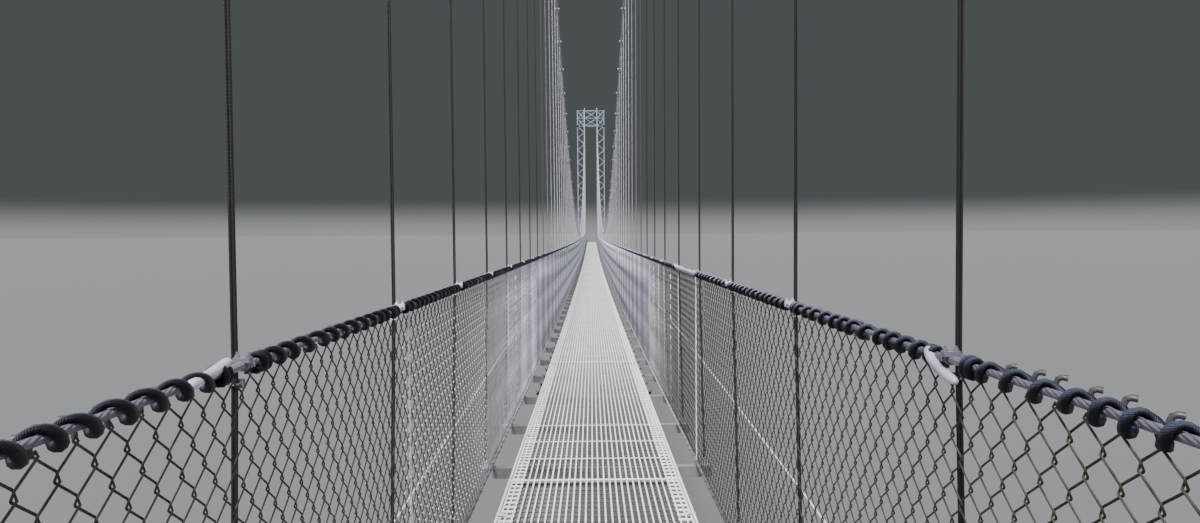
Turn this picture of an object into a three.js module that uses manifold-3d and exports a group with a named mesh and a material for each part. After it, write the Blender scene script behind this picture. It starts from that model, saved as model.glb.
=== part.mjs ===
// A suspension footbridge for walkers, as a 1:10 scale model: a narrow grating deck hung by wire
// hangers from two main cables, between two lattice portal towers on concrete.
// Every size below is the real bridge's, in millimetres. The group at the end scales the whole.
// +Y runs along the bridge from the near end to the far end, +X to the right, +Z up, with the
// origin on the ground under midspan. Each shape is built for the right side or the far end, and
// its other copies are mirrored from it.
import * as THREE from "three";
import { mergeVertices } from "three/addons/utils/BufferGeometryUtils.js";
import Module from "manifold-3d";

const wasm = await Module();
wasm.setup();

const SCALE = 1 / 10;
const GAP = 3;

// Span and deck
const SPAN = 100000;
const BAYS = 80;
const BAY = SPAN / BAYS;
const DECK_END_HEIGHT = 2400;
const DECK_SAG = 500;
const DECK_WIDTH = 900;
const DECK_THICKNESS = 40;
const BEAM_LENGTH = 1320;
const BEAM_SIZE = 60;
const BEAM_SINK = 10;
const DECK_SECTIONS = 8;
const MESH_SECTIONS = 4;
const BAYS_PER_CHORD = 5;

// Ropes and side mesh
const ROPE_X = 575;
const HAND_ROPE_HEIGHT_AT_TOWER = 970;
const HAND_ROPE_HEIGHT_AT_MIDSPAN = 1250;
const HAND_ROPE_RADIUS = 15;
const SIDE_ROPE_RADIUS = 20;
const ROPE_SIDES = 6;
const MESH_THICKNESS = 8;
const MESH_BAR = 28;
const MESH_CELLS = 8;

// Main cables and hangers
const CABLE_X = 620;
const CABLE_RADIUS = 18;
const CABLE_MID_CLEARANCE = 1600;
const CABLE_CHORDS = 40;
const CABLE_PEAK_OVER_TOWER = 380;
const HANGER_RADIUS = 6;
const SADDLE_HALF_LENGTH = 390;
const SADDLE_WIDTH = 100;
const SADDLE_STEPS = 6;
const BACKSTAY_RUN = 18000;
const SOCKET_LENGTH = 600;
const SOCKET_RADIUS = 45;

// Towers
const TOWER_INNER_X = 600;
const LEG_SIZE = 780;
const TOWER_HEIGHT = DECK_END_HEIGHT + 13400;
const CROSS_BEAM_DEPTH = 1600;
const CHORD_SIZE = 80;
const LATTICE_BAR = 56;
const LATTICE_THICKNESS = 24;
const LATTICE_SETBACK = 24;
const LEG_PANELS = 10;
const TOP_PANELS = 2;

// Concrete
const PEDESTAL_HEIGHT = 900;
const PEDESTAL_X = [500, 1480];
const PEDESTAL_HALF_LENGTH = 480;
const ABUTMENT_FACE = 50650;
const ABUTMENT_SHELF = 50500;
const ABUTMENT_BACK = 53200;
const ABUTMENT_WIDTH = 2600;
const PLINTH_SIZE = 240;
const PLINTH_HEIGHT = 260;
const PLINTH_FACE = 52600;
const ANCHOR_WIDTH = 1300;
const ANCHOR_LENGTH = 2200;
const ANCHOR_HEIGHT = 1400;

// Wind guys, which stand a little wider on the right
const GUY_MID_X = { left: 1700, right: 1915 };
const GUY_END_X = { left: 2050, right: 2345 };
const GUY_MID_HEIGHT = 1510;
const GUY_END_HEIGHT = 265;
const GUY_RADIUS = 10;
const GUY_CHORDS = 20;
const GUY_END = 50500;
const GUY_TIE_BAYS = [20, 30, 40, 50, 60];
const GUY_ANCHOR_X = [1650, 2750];
const GUY_ANCHOR_LENGTH = 800;
const GUY_ANCHOR_HEIGHT = 650;

const TOWER_Y = SPAN / 2;
const LEG_OUTER_X = TOWER_INNER_X + LEG_SIZE;
const BEAM_TOP = DECK_THICKNESS - BEAM_SINK;
const CHORD_LENGTH = BAY * BAYS_PER_CHORD;

const concrete = new THREE.MeshStandardMaterial({ color: 0x9b978d, roughness: 0.92, metalness: 0 });
const galvanised = new THREE.MeshStandardMaterial({ color: 0xb4b7bd, roughness: 0.5, metalness: 0.7 });
const grating = new THREE.MeshStandardMaterial({ color: 0xc3c4c2, roughness: 0.55, metalness: 0.6 });
const wireRope = new THREE.MeshStandardMaterial({ color: 0x3b3a36, roughness: 0.6, metalness: 0.5 });
const blackCord = new THREE.MeshStandardMaterial({ color: 0x17171a, roughness: 0.45, metalness: 0 });
const meshWire = new THREE.MeshStandardMaterial({ color: 0x8c887a, roughness: 0.6, metalness: 0.6 });
const guyWire = new THREE.MeshStandardMaterial({ color: 0xd6d7d4, roughness: 0.5, metalness: 0.4 });

// Heights along the bridge

// A parabola between the towers, followed by straight runs of five bays, and level beyond them.
function saggingHeight(y, atTower, atMidspan) {
  const parabola = (at) => atMidspan + (atTower - atMidspan) * (at / TOWER_Y) ** 2;
  if (Math.abs(y) >= TOWER_Y) {
    return atTower;
  }
  const from = Math.floor((y + TOWER_Y) / CHORD_LENGTH) * CHORD_LENGTH - TOWER_Y;
  const share = (y - from) / CHORD_LENGTH;
  return (1 - share) * parabola(from) + share * parabola(from + CHORD_LENGTH);
}

function deckTop(y) {
  return saggingHeight(y, DECK_END_HEIGHT, DECK_END_HEIGHT - DECK_SAG);
}

// The hand rope sags less than the deck, so it stands higher over the deck at midspan.
function handRopeHeight(y) {
  return saggingHeight(
    y,
    DECK_END_HEIGHT + HAND_ROPE_HEIGHT_AT_TOWER,
    DECK_END_HEIGHT - DECK_SAG + HAND_ROPE_HEIGHT_AT_MIDSPAN,
  );
}

// The ends of the straight runs that lie between two places, with the places themselves.
function deckStations(from, to) {
  const inner = [];
  for (let y = -TOWER_Y; y <= TOWER_Y; y += CHORD_LENGTH) {
    if (y > from + 1 && y < to - 1) {
      inner.push(y);
    }
  }
  return [from, ...inner, to];
}

// The main cable in its vertical plane. Each tower's saddle turns it along a quadratic curve,
// which touches the parabola on the span side and the straight backstay on the land side.
const CABLE_MID_HEIGHT = DECK_END_HEIGHT - DECK_SAG + CABLE_MID_CLEARANCE;
const CABLE_PEAK_HEIGHT = TOWER_HEIGHT + CABLE_PEAK_OVER_TOWER;
const SPAN_TOUCH = TOWER_Y - SADDLE_HALF_LENGTH;
const CABLE_CURVE = (CABLE_PEAK_HEIGHT - CABLE_MID_HEIGHT) / (SPAN_TOUCH * (SPAN - SPAN_TOUCH));
const BACKSTAY_END_HEIGHT = ANCHOR_HEIGHT * 0.6;
const BACKSTAY_SLOPE = (CABLE_PEAK_HEIGHT - BACKSTAY_END_HEIGHT) / BACKSTAY_RUN;

function cableHeight(y) {
  return CABLE_MID_HEIGHT + CABLE_CURVE * y * y;
}

const saddleBend = new THREE.QuadraticBezierCurve(
  new THREE.Vector2(SPAN_TOUCH, cableHeight(SPAN_TOUCH)),
  new THREE.Vector2(TOWER_Y, CABLE_PEAK_HEIGHT),
  new THREE.Vector2(
    TOWER_Y + SADDLE_HALF_LENGTH,
    CABLE_PEAK_HEIGHT - BACKSTAY_SLOPE * SADDLE_HALF_LENGTH,
  ),
);

// Solids

// A closed geometry as a solid that can be joined and cut.
function solid(geometry) {
  const bare = geometry.clone();
  bare.deleteAttribute("normal");
  bare.deleteAttribute("uv");
  const merged = mergeVertices(bare, 1e-2);
  return new wasm.Manifold(
    new wasm.Mesh({
      numProp: 3,
      vertProperties: merged.getAttribute("position").array,
      triVerts: new Uint32Array(merged.index.array),
    }),
  );
}

function join(geometries) {
  return geometries.map(solid).reduce((whole, piece) => whole.add(piece));
}

function geometryOf(body) {
  const { vertProperties, triVerts } = body.getMesh();
  return new THREE.BufferGeometry()
    .setAttribute("position", new THREE.BufferAttribute(vertProperties, 3))
    .setIndex(new THREE.BufferAttribute(triVerts, 1));
}

function box([x0, x1], [y0, y1], [z0, z1]) {
  return new THREE.BoxGeometry(x1 - x0, y1 - y0, z1 - z0).translate(
    (x0 + x1) / 2,
    (y0 + y1) / 2,
    (z0 + z1) / 2,
  );
}

const ALONG_X = new THREE.Matrix4().makeBasis(
  new THREE.Vector3(0, 1, 0),
  new THREE.Vector3(0, 0, 1),
  new THREE.Vector3(1, 0, 0),
);
const ALONG_Y = new THREE.Matrix4().makeBasis(
  new THREE.Vector3(1, 0, 0),
  new THREE.Vector3(0, 0, 1),
  new THREE.Vector3(0, -1, 0),
);

// A shape drawn in y and z, given its thickness from x0 to x1.
function slabAcross(shape, x0, x1) {
  return new THREE.ExtrudeGeometry(shape, { depth: x1 - x0, bevelEnabled: false })
    .applyMatrix4(ALONG_X)
    .translate(x0, 0, 0);
}

// A shape drawn in x and z, given its thickness from y0 to y1.
function slabAlong(shape, y0, y1) {
  return new THREE.ExtrudeGeometry(shape, { depth: y1 - y0, bevelEnabled: false })
    .applyMatrix4(ALONG_Y)
    .translate(0, y1, 0);
}

function point(x, y) {
  return new THREE.Vector2(x, y);
}

// A route through chosen points, whose sections stand at those points.
class Route extends THREE.Curve {
  constructor(points) {
    super();
    this.points = points;
  }

  getPoint(share, target = new THREE.Vector3()) {
    const last = this.points.length - 1;
    const at = Math.min(share * last, last);
    const i = Math.min(Math.floor(at), last - 1);
    return target.lerpVectors(this.points[i], this.points[i + 1], at - i);
  }

  getPointAt(share, target) {
    return this.getPoint(share, target);
  }

  getTangentAt(share, target = new THREE.Vector3()) {
    const last = this.points.length - 1;
    const i = Math.round(share * last);
    const before = this.points[Math.max(i - 1, 0)];
    const after = this.points[Math.min(i + 1, last)];
    return target.subVectors(after, before).normalize();
  }
}

// A rope of a few sides along a route of points.
function rope(points, radius, sides = ROPE_SIDES) {
  const section = new THREE.Shape();
  for (let i = 0; i < sides; i += 1) {
    const angle = (2 * Math.PI * (i + 0.5)) / sides;
    const corner = point(radius * Math.cos(angle), radius * Math.sin(angle));
    if (i === 0) {
      section.moveTo(corner.x, corner.y);
    } else {
      section.lineTo(corner.x, corner.y);
    }
  }
  return new THREE.ExtrudeGeometry(section, {
    steps: points.length - 1,
    extrudePath: new Route(points),
    curveSegments: 1,
  });
}

// Lattices

// Moves each side of a convex outline inwards by a distance.
function inset(corners, distance) {
  const ordered = THREE.ShapeUtils.isClockWise(corners) ? [...corners].reverse() : corners;
  return ordered.map((corner, i) => {
    const into = corner.clone().sub(ordered.at(i - 1)).normalize();
    const out = ordered[(i + 1) % ordered.length].clone().sub(corner).normalize();
    const turn = into.cross(out);
    return corner.clone().add(out.sub(into).multiplyScalar(distance / turn));
  });
}

function plateWithHoles(outline, holes) {
  const shape = new THREE.Shape(outline);
  shape.holes = holes.map((corners) => new THREE.Path(inset(corners, LATTICE_BAR / 2)));
  return shape;
}

function rectangle([x0, x1], [z0, z1]) {
  return [point(x0, z0), point(x1, z0), point(x1, z1), point(x0, z1)];
}

// The triangles that a zigzag leaves open between two posts, from level to level.
function zigzagHoles([x0, x1], levels) {
  const bends = levels.map((z, i) => point(i % 2 ? x1 : x0, z));
  const last = levels.length - 1;
  const holes = [[bends[0], point(x1, levels[0]), bends[1]]];
  for (let i = 1; i < last; i += 1) {
    holes.push([bends[i - 1], bends[i], bends[i + 1]]);
  }
  holes.push([bends[last - 1], bends[last], point(last % 2 ? x0 : x1, levels[last])]);
  return holes;
}

// The four triangles that two crossed bars leave open in a rectangle.
function crossHoles(xs, zs) {
  const corners = rectangle(xs, zs);
  const centre = point((xs[0] + xs[1]) / 2, (zs[0] + zs[1]) / 2);
  return corners.map((corner, i) => [corner, corners[(i + 1) % 4], centre]);
}

function levelsBetween(from, to, count) {
  return Array.from({ length: count + 1 }, (_, i) => from + ((to - from) * i) / count);
}

// Pieces of the towers

const LEG_FOOT = PEDESTAL_HEIGHT + GAP;
const EDGE = CHORD_SIZE + 4 - LATTICE_BAR / 2;

// One leg: four square corner posts and four faces of zigzag bars, closer near the top.
function towerLeg() {
  const foot = LEG_FOOT + EDGE - CHORD_SIZE / 2;
  const beamFoot = TOWER_HEIGHT - CROSS_BEAM_DEPTH;
  const levels = [
    ...levelsBetween(foot, beamFoot, LEG_PANELS),
    ...levelsBetween(beamFoot, TOWER_HEIGHT - EDGE, TOP_PANELS).slice(1),
  ];
  const face = (x0) =>
    plateWithHoles(
      rectangle([x0 + 10, x0 + LEG_SIZE - 10], [LEG_FOOT, TOWER_HEIGHT]),
      zigzagHoles([x0 + EDGE, x0 + LEG_SIZE - EDGE], levels),
    );
  const near = TOWER_Y - LEG_SIZE / 2;
  const far = TOWER_Y + LEG_SIZE / 2;
  const outerPlate = LATTICE_SETBACK;
  const innerPlate = LATTICE_SETBACK + LATTICE_THICKNESS;
  const posts = [TOWER_INNER_X, LEG_OUTER_X - CHORD_SIZE].flatMap((x) =>
    [near, far - CHORD_SIZE].map((y) =>
      box([x, x + CHORD_SIZE], [y, y + CHORD_SIZE], [LEG_FOOT, TOWER_HEIGHT]),
    ),
  );
  return join([
    ...posts,
    slabAlong(face(TOWER_INNER_X), near + outerPlate, near + innerPlate),
    slabAlong(face(TOWER_INNER_X), far - innerPlate, far - outerPlate),
    slabAcross(face(near), TOWER_INNER_X + outerPlate, TOWER_INNER_X + innerPlate),
    slabAcross(face(near), LEG_OUTER_X - innerPlate, LEG_OUTER_X - outerPlate),
  ]);
}

// The lattice beam that ties the two legs of a tower together at the top.
function towerCrossBeam() {
  const half = TOWER_INNER_X - GAP;
  const near = TOWER_Y - LEG_SIZE / 2;
  const far = TOWER_Y + LEG_SIZE / 2;
  const foot = TOWER_HEIGHT - CROSS_BEAM_DEPTH;
  const middle = TOWER_HEIGHT - CROSS_BEAM_DEPTH / 2;
  const ends = [-half + EDGE, half - EDGE];
  const front = plateWithHoles(rectangle([-half, half], [foot + 10, TOWER_HEIGHT - 10]), [
    ...crossHoles(ends, [foot + EDGE, middle]),
    ...crossHoles(ends, [middle, TOWER_HEIGHT - EDGE]),
  ]);
  const flat = plateWithHoles(
    rectangle([near + 10, far - 10], [-half, half]),
    crossHoles([near + EDGE, far - EDGE], ends),
  );
  const layFlat = new THREE.Matrix4().makeBasis(
    new THREE.Vector3(0, 1, 0),
    new THREE.Vector3(1, 0, 0),
    new THREE.Vector3(0, 0, -1),
  );
  const flatAt = (z) =>
    new THREE.ExtrudeGeometry(flat, { depth: LATTICE_THICKNESS, bevelEnabled: false })
      .applyMatrix4(layFlat)
      .translate(0, 0, z);
  const rails = [foot, TOWER_HEIGHT - CHORD_SIZE].flatMap((z) =>
    [near, far - CHORD_SIZE].map((y) =>
      box([-half, half], [y, y + CHORD_SIZE], [z, z + CHORD_SIZE]),
    ),
  );
  const inner = LATTICE_SETBACK + LATTICE_THICKNESS;
  return join([
    ...rails,
    slabAlong(front, near + LATTICE_SETBACK, near + inner),
    slabAlong(front, far - inner, far - LATTICE_SETBACK),
    flatAt(TOWER_HEIGHT - LATTICE_SETBACK),
    flatAt(foot + inner),
  ]);
}

// The saddle on a leg's inner posts, whose top follows the underside of the bent cable.
function saddle() {
  const shares = levelsBetween(0, 1, SADDLE_STEPS);
  const top = shares.map((share) => {
    const tangent = saddleBend.getTangent(share);
    const down = point(tangent.y, -tangent.x).multiplyScalar(CABLE_RADIUS + GAP);
    return saddleBend.getPoint(share).add(down);
  });
  const foot = TOWER_HEIGHT + GAP;
  const outline = [
    point(top[0].x, foot),
    point(top[0].x, top[0].y),
    ...top.slice(1),
    point(top.at(-1).x, foot),
  ];
  return solid(
    slabAcross(new THREE.Shape(outline), CABLE_X - SADDLE_WIDTH / 2, CABLE_X + SADDLE_WIDTH / 2),
  );
}

// Pieces of the ropes and cables

function spanPoints(x, heightAt, chords) {
  return levelsBetween(-SPAN_TOUCH, SPAN_TOUCH, chords).map(
    (y) => new THREE.Vector3(x, y, heightAt(y)),
  );
}

// The backstay's end, just short of the anchor block's sloping face.
function backstayEnd() {
  const y = TOWER_Y + BACKSTAY_RUN;
  return new THREE.Vector3(CABLE_X, y, CABLE_PEAK_HEIGHT - BACKSTAY_SLOPE * BACKSTAY_RUN);
}

// A main cable from anchor to anchor, with the hangers that it carries.
function mainCable() {
  const bend = levelsBetween(0, 1, SADDLE_STEPS).map((share) => {
    const at = saddleBend.getPoint(share);
    return new THREE.Vector3(CABLE_X, at.x, at.y);
  });
  const end = backstayEnd();
  const farEnd = [...bend.slice(1), end];
  const nearEnd = farEnd.map((at) => new THREE.Vector3(at.x, -at.y, at.z)).reverse();
  const route = [...nearEnd, ...spanPoints(CABLE_X, cableHeight, CABLE_CHORDS), ...farEnd];
  const cable = rope(route, CABLE_RADIUS);
  const socketStart = end.clone().lerp(bend.at(-1), SOCKET_LENGTH / end.distanceTo(bend.at(-1)));
  const socketAt = (side) =>
    rope(
      [socketStart, end].map((at) => new THREE.Vector3(at.x, side * at.y, at.z)),
      SOCKET_RADIUS,
    );
  const hangers = [];
  for (let bay = 1; bay < BAYS; bay += 1) {
    const y = bay * BAY - TOWER_Y;
    const foot = deckTop(y) - BEAM_TOP + GAP;
    const length = cableHeight(y) - foot;
    hangers.push(
      new THREE.CylinderGeometry(HANGER_RADIUS, HANGER_RADIUS, length, 3)
        .rotateX(Math.PI / 2)
        .translate(CABLE_X, y, foot + length / 2),
    );
  }
  return join([cable, socketAt(-1), socketAt(1), ...hangers]);
}

// A hand rope over the deck's edge, led down to a plinth on each abutment.
function handRope() {
  const over = deckStations(-ABUTMENT_SHELF, ABUTMENT_SHELF).map(
    (y) => new THREE.Vector3(ROPE_X, y, handRopeHeight(y)),
  );
  const endHeight = DECK_END_HEIGHT + PLINTH_HEIGHT / 2;
  const slope = Math.atan2(HAND_ROPE_HEIGHT_AT_TOWER - PLINTH_HEIGHT / 2, PLINTH_FACE - ABUTMENT_SHELF);
  const endY = PLINTH_FACE - GAP - HAND_ROPE_RADIUS * Math.sin(slope);
  const end = new THREE.Vector3(ROPE_X, endY, endHeight);
  const start = new THREE.Vector3(ROPE_X, -endY, endHeight);
  return solid(rope([start, ...over, end], HAND_ROPE_RADIUS));
}

// A side rope along the deck's edge, laid on the cross beams' ends.
function sideRope() {
  const reach = ABUTMENT_FACE - GAP;
  const points = deckStations(-reach, reach).map(
    (y) => new THREE.Vector3(ROPE_X, y, deckTop(y) - BEAM_TOP + GAP + SIDE_ROPE_RADIUS),
  );
  return solid(rope(points, SIDE_ROPE_RADIUS));
}

// A wind guy, bowed in towards the deck at midspan, with its ties to the cross beams' ends.
function windGuy(side) {
  const at = (y) => {
    const share = (y / TOWER_Y) ** 2;
    return new THREE.Vector3(
      GUY_MID_X[side] + (GUY_END_X[side] - GUY_MID_X[side]) * share,
      y,
      GUY_MID_HEIGHT + (GUY_END_HEIGHT - GUY_MID_HEIGHT) * share,
    );
  };
  const reach = GUY_END - GAP;
  const guy = rope(levelsBetween(-reach, reach, GUY_CHORDS).map(at), GUY_RADIUS);
  const ties = GUY_TIE_BAYS.map((bay) => {
    const y = bay * BAY - TOWER_Y;
    const beamMiddle = deckTop(y) - BEAM_TOP - BEAM_SIZE / 2;
    return rope([at(y), new THREE.Vector3(BEAM_LENGTH / 2 + GAP, y, beamMiddle)], GUY_RADIUS * 0.7, 4);
  });
  return join([guy, ...ties]);
}

// Pieces of the deck and sides

// The two ends of a section, which meet halfway between hangers, with a joint between neighbours.
function sectionEnds(section, sections, reach) {
  const bays = BAYS / sections;
  const start = (bays * section + 0.5) * BAY - TOWER_Y;
  return [
    section === 0 ? -reach : start + GAP / 2,
    section === sections - 1 ? reach : start + bays * BAY - GAP / 2,
  ];
}

// A run of grating with its edge bars, and the cross beams that carry it at each pair of hangers.
function deckSection(section) {
  const [from, to] = sectionEnds(section, DECK_SECTIONS, ABUTMENT_FACE - GAP);
  const stations = deckStations(from, to);
  const top = stations.map((y) => point(y, deckTop(y)));
  const underside = stations.map((y) => point(y, deckTop(y) - DECK_THICKNESS)).reverse();
  const plate = slabAcross(new THREE.Shape([...top, ...underside]), -DECK_WIDTH / 2, DECK_WIDTH / 2);
  const beams = [];
  for (let bay = 1; bay < BAYS; bay += 1) {
    const y = bay * BAY - TOWER_Y;
    if (y > from && y < to) {
      const beamTop = deckTop(y) - BEAM_TOP;
      beams.push(
        box(
          [-BEAM_LENGTH / 2, BEAM_LENGTH / 2],
          [y - BEAM_SIZE / 2, y + BEAM_SIZE / 2],
          [beamTop - BEAM_SIZE, beamTop],
        ),
      );
    }
  }
  return join([plate, ...beams]);
}

// A run of side mesh between the hand rope and the side rope, with coarse crossed bars.
function meshPanel(section) {
  const [from, to] = sectionEnds(section, MESH_SECTIONS, TOWER_Y - LEG_SIZE / 2);
  const footAt = (y) => deckTop(y) - BEAM_TOP + 2 * GAP + 2 * SIDE_ROPE_RADIUS;
  const headAt = (y) => handRopeHeight(y) - HAND_ROPE_RADIUS - GAP;
  const stations = deckStations(from, to);
  const outline = [
    ...stations.map((y) => point(y, footAt(y))),
    ...[...stations].reverse().map((y) => point(y, headAt(y))),
  ];
  const edge = MESH_BAR / 2;
  const posts = levelsBetween(from + edge, to - edge, MESH_CELLS);
  const holes = [];
  for (let cell = 0; cell < MESH_CELLS; cell += 1) {
    const [y0, y1] = [posts[cell], posts[cell + 1]];
    const middleY = (y0 + y1) / 2;
    const centre = point(middleY, (footAt(middleY) + headAt(middleY)) / 2);
    const low = [point(y0, footAt(y0) + edge), point(y1, footAt(y1) + edge)];
    const high = [point(y0, headAt(y0) - edge), point(y1, headAt(y1) - edge)];
    holes.push([low[0], low[1], centre], [high[0], high[1], centre]);
    if (cell === 0) {
      holes.push([low[0], high[0], centre]);
    }
    if (cell === MESH_CELLS - 1) {
      holes.push([low[1], high[1], centre]);
    } else {
      const after = (y1 + posts[cell + 2]) / 2;
      holes.push([low[1], point(after, (footAt(after) + headAt(after)) / 2), high[1], centre]);
    }
  }
  const shape = new THREE.Shape(outline);
  shape.holes = holes.map((corners) => new THREE.Path(inset(corners, edge)));
  return solid(slabAcross(shape, ROPE_X - MESH_THICKNESS / 2, ROPE_X + MESH_THICKNESS / 2));
}

// Pieces of concrete

function pedestal() {
  return solid(
    box(
      PEDESTAL_X,
      [TOWER_Y - PEDESTAL_HALF_LENGTH, TOWER_Y + PEDESTAL_HALF_LENGTH],
      [0, PEDESTAL_HEIGHT],
    ),
  );
}

// An abutment: a landing level with the deck, a shelf under the deck's end and two rope plinths.
function abutment() {
  const half = ABUTMENT_WIDTH / 2;
  const shelfTop = DECK_END_HEIGHT - DECK_THICKNESS - GAP;
  const plinth = (side) =>
    box(
      [side * ROPE_X - PLINTH_SIZE / 2, side * ROPE_X + PLINTH_SIZE / 2],
      [PLINTH_FACE, PLINTH_FACE + PLINTH_SIZE],
      [DECK_END_HEIGHT - 10, DECK_END_HEIGHT + PLINTH_HEIGHT],
    );
  return join([
    box([-half, half], [ABUTMENT_FACE, ABUTMENT_BACK], [0, DECK_END_HEIGHT]),
    box([-half + 100, half - 100], [ABUTMENT_SHELF, ABUTMENT_FACE + 10], [0, shelfTop]),
    plinth(-1),
    plinth(1),
  ]);
}

// A main anchor block, whose sloping face is square to the backstay that ends at it.
function mainAnchor() {
  const end = backstayEnd();
  const away = point(1, -BACKSTAY_SLOPE).normalize();
  const face = point(end.y, end.z).addScaledVector(away, GAP);
  const across = point(-away.y, away.x);
  const upTo = (ANCHOR_HEIGHT - face.y) / across.y;
  const crest = face.clone().addScaledVector(across, upTo);
  const footAt = face.clone().addScaledVector(across, -(face.y - 300) / across.y);
  const back = crest.x + ANCHOR_LENGTH;
  const outline = [
    point(footAt.x, 0),
    point(back, 0),
    point(back, ANCHOR_HEIGHT),
    crest,
    footAt,
  ];
  return solid(
    slabAcross(new THREE.Shape(outline), CABLE_X - ANCHOR_WIDTH / 4, CABLE_X + (3 * ANCHOR_WIDTH) / 4),
  );
}

function guyAnchor() {
  return solid(
    box(GUY_ANCHOR_X, [GUY_END, GUY_END + GUY_ANCHOR_LENGTH], [0, GUY_ANCHOR_HEIGHT]),
  );
}

// The whole bridge

const bridge = new THREE.Group();

function place(name, geometry, material, mirrorX = 1, mirrorY = 1) {
  const mesh = new THREE.Mesh(geometry, material);
  mesh.name = name;
  mesh.scale.set(mirrorX, mirrorY, 1);
  bridge.add(mesh);
}

const SIDES = [
  ["left", -1],
  ["right", 1],
];
const ENDS = [
  ["near", -1],
  ["far", 1],
];

// One piece at each end, or one on each side, or one at each of the four corners.
// A shape that differs between the sides is made by a function of the side.
function placeAtEnds(name, body, material) {
  const geometry = geometryOf(body);
  ENDS.forEach(([end, mirrorY]) => place(`${end}_${name}`, geometry, material, 1, mirrorY));
}

function placeOnSides(name, make, material) {
  SIDES.forEach(([side, mirrorX]) =>
    place(`${side}_${name}`, geometryOf(make(side)), material, mirrorX),
  );
}

function placeAtCorners(name, make, material) {
  SIDES.forEach(([side, mirrorX]) => {
    const geometry = geometryOf(make(side));
    ENDS.forEach(([end, mirrorY]) =>
      place(`${end}_${side}_${name}`, geometry, material, mirrorX, mirrorY),
    );
  });
}

placeAtCorners("tower_pedestal", pedestal, concrete);
placeAtCorners("tower_leg", towerLeg, galvanised);
placeAtCorners("cable_saddle", saddle, galvanised);
placeAtCorners("cable_anchor_block", mainAnchor, concrete);
placeAtCorners("guy_anchor_block", guyAnchor, concrete);
placeAtEnds("abutment", abutment(), concrete);
placeAtEnds("tower_cross_beam", towerCrossBeam(), galvanised);
placeOnSides("main_cable_with_hangers", mainCable, wireRope);
placeOnSides("hand_rope", handRope, blackCord);
placeOnSides("side_rope", sideRope, blackCord);
placeOnSides("wind_guy", windGuy, guyWire);
for (let section = 0; section < DECK_SECTIONS; section += 1) {
  place(`deck_section_${section + 1}`, geometryOf(deckSection(section)), grating);
}
for (let section = 0; section < MESH_SECTIONS; section += 1) {
  placeOnSides(`mesh_panel_${section + 1}`, () => meshPanel(section), meshWire);
}

bridge.scale.setScalar(SCALE);
const model = new THREE.Group();
model.add(bridge);

export default model;
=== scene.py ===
"""The looks of a suspension footbridge for walkers, a 1:10 scale model.

Every size below is the real bridge's, in millimetres; MM turns it into the model's metres.
+Y runs along the bridge from its near end to its far end, +X to the right and +Z up, with the
origin on the ground under midspan. Shapes are made for the right side or the far end and
mirrored from there.
"""

import logging
import math
from dataclasses import dataclass
from enum import Enum
from typing import Any, Sequence

import bpy
import numpy as np
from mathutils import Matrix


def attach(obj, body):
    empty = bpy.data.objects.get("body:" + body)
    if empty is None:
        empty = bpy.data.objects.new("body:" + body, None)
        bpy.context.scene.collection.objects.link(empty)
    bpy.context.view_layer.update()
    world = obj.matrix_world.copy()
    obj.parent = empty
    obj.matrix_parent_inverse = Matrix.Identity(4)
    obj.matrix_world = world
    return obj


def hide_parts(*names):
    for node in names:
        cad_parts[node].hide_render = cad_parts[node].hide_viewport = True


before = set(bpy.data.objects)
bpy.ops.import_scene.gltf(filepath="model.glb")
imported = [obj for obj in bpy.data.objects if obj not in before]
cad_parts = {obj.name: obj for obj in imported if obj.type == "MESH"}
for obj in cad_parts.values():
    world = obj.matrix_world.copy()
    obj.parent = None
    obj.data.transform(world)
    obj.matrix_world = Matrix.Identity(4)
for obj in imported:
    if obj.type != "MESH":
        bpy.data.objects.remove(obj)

MM = 1e-4
ACROSS = np.array([1.0, 0.0, 0.0])
ALONG = np.array([0.0, 1.0, 0.0])
UP = np.array([0.0, 0.0, 1.0])
UNTURNED = np.array([ACROSS, ALONG, UP])
Colour = tuple[float, float, float]
log = logging.getLogger("footbridge")


class Place(Enum):
    """A place that pieces are named after; its value is what a shape is mirrored by."""

    @property
    def label(self) -> str:
        """The place's name in a piece's name."""
        return self.name.lower()


class Side(Place):
    """The bridge's two sides, seen from its near end."""

    LEFT = -1
    RIGHT = 1


class End(Place):
    """The bridge's two ends."""

    NEAR = -1
    FAR = 1


# Points


def unit(vectors: np.ndarray) -> np.ndarray:
    """Each vector divided by its length."""
    return vectors / np.maximum(np.linalg.norm(vectors, axis=-1, keepdims=True), 1e-12)


def track(x: Any, y: Any, height: Any) -> np.ndarray:
    """Points at x, y and height, each of them a number or an array."""
    return np.stack(np.broadcast_arrays(x, y, height), -1)


def helix(radius: Any, spin: np.ndarray, y: Any) -> np.ndarray:
    """Points round the Y axis: radius times the cosine and the sine of spin, at y."""
    return track(radius * np.cos(spin), y, radius * np.sin(spin))


def curve(points: np.ndarray, t: np.ndarray) -> np.ndarray:
    """A quadratic curve between two points, drawn towards a third.

    It is (1 - t) squared times the first point, plus 2 t (1 - t) times the second, plus t
    squared times the last.

    Args:
        points: the first point, the one between, and the last.
        t: shares of the way, 0 to 1.

    Returns:
        A point for each share.
    """
    first, bend, last = points
    t = t[:, None]
    return (1 - t) ** 2 * first + 2 * t * (1 - t) * bend + t * t * last


# The bridge's main lines


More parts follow.
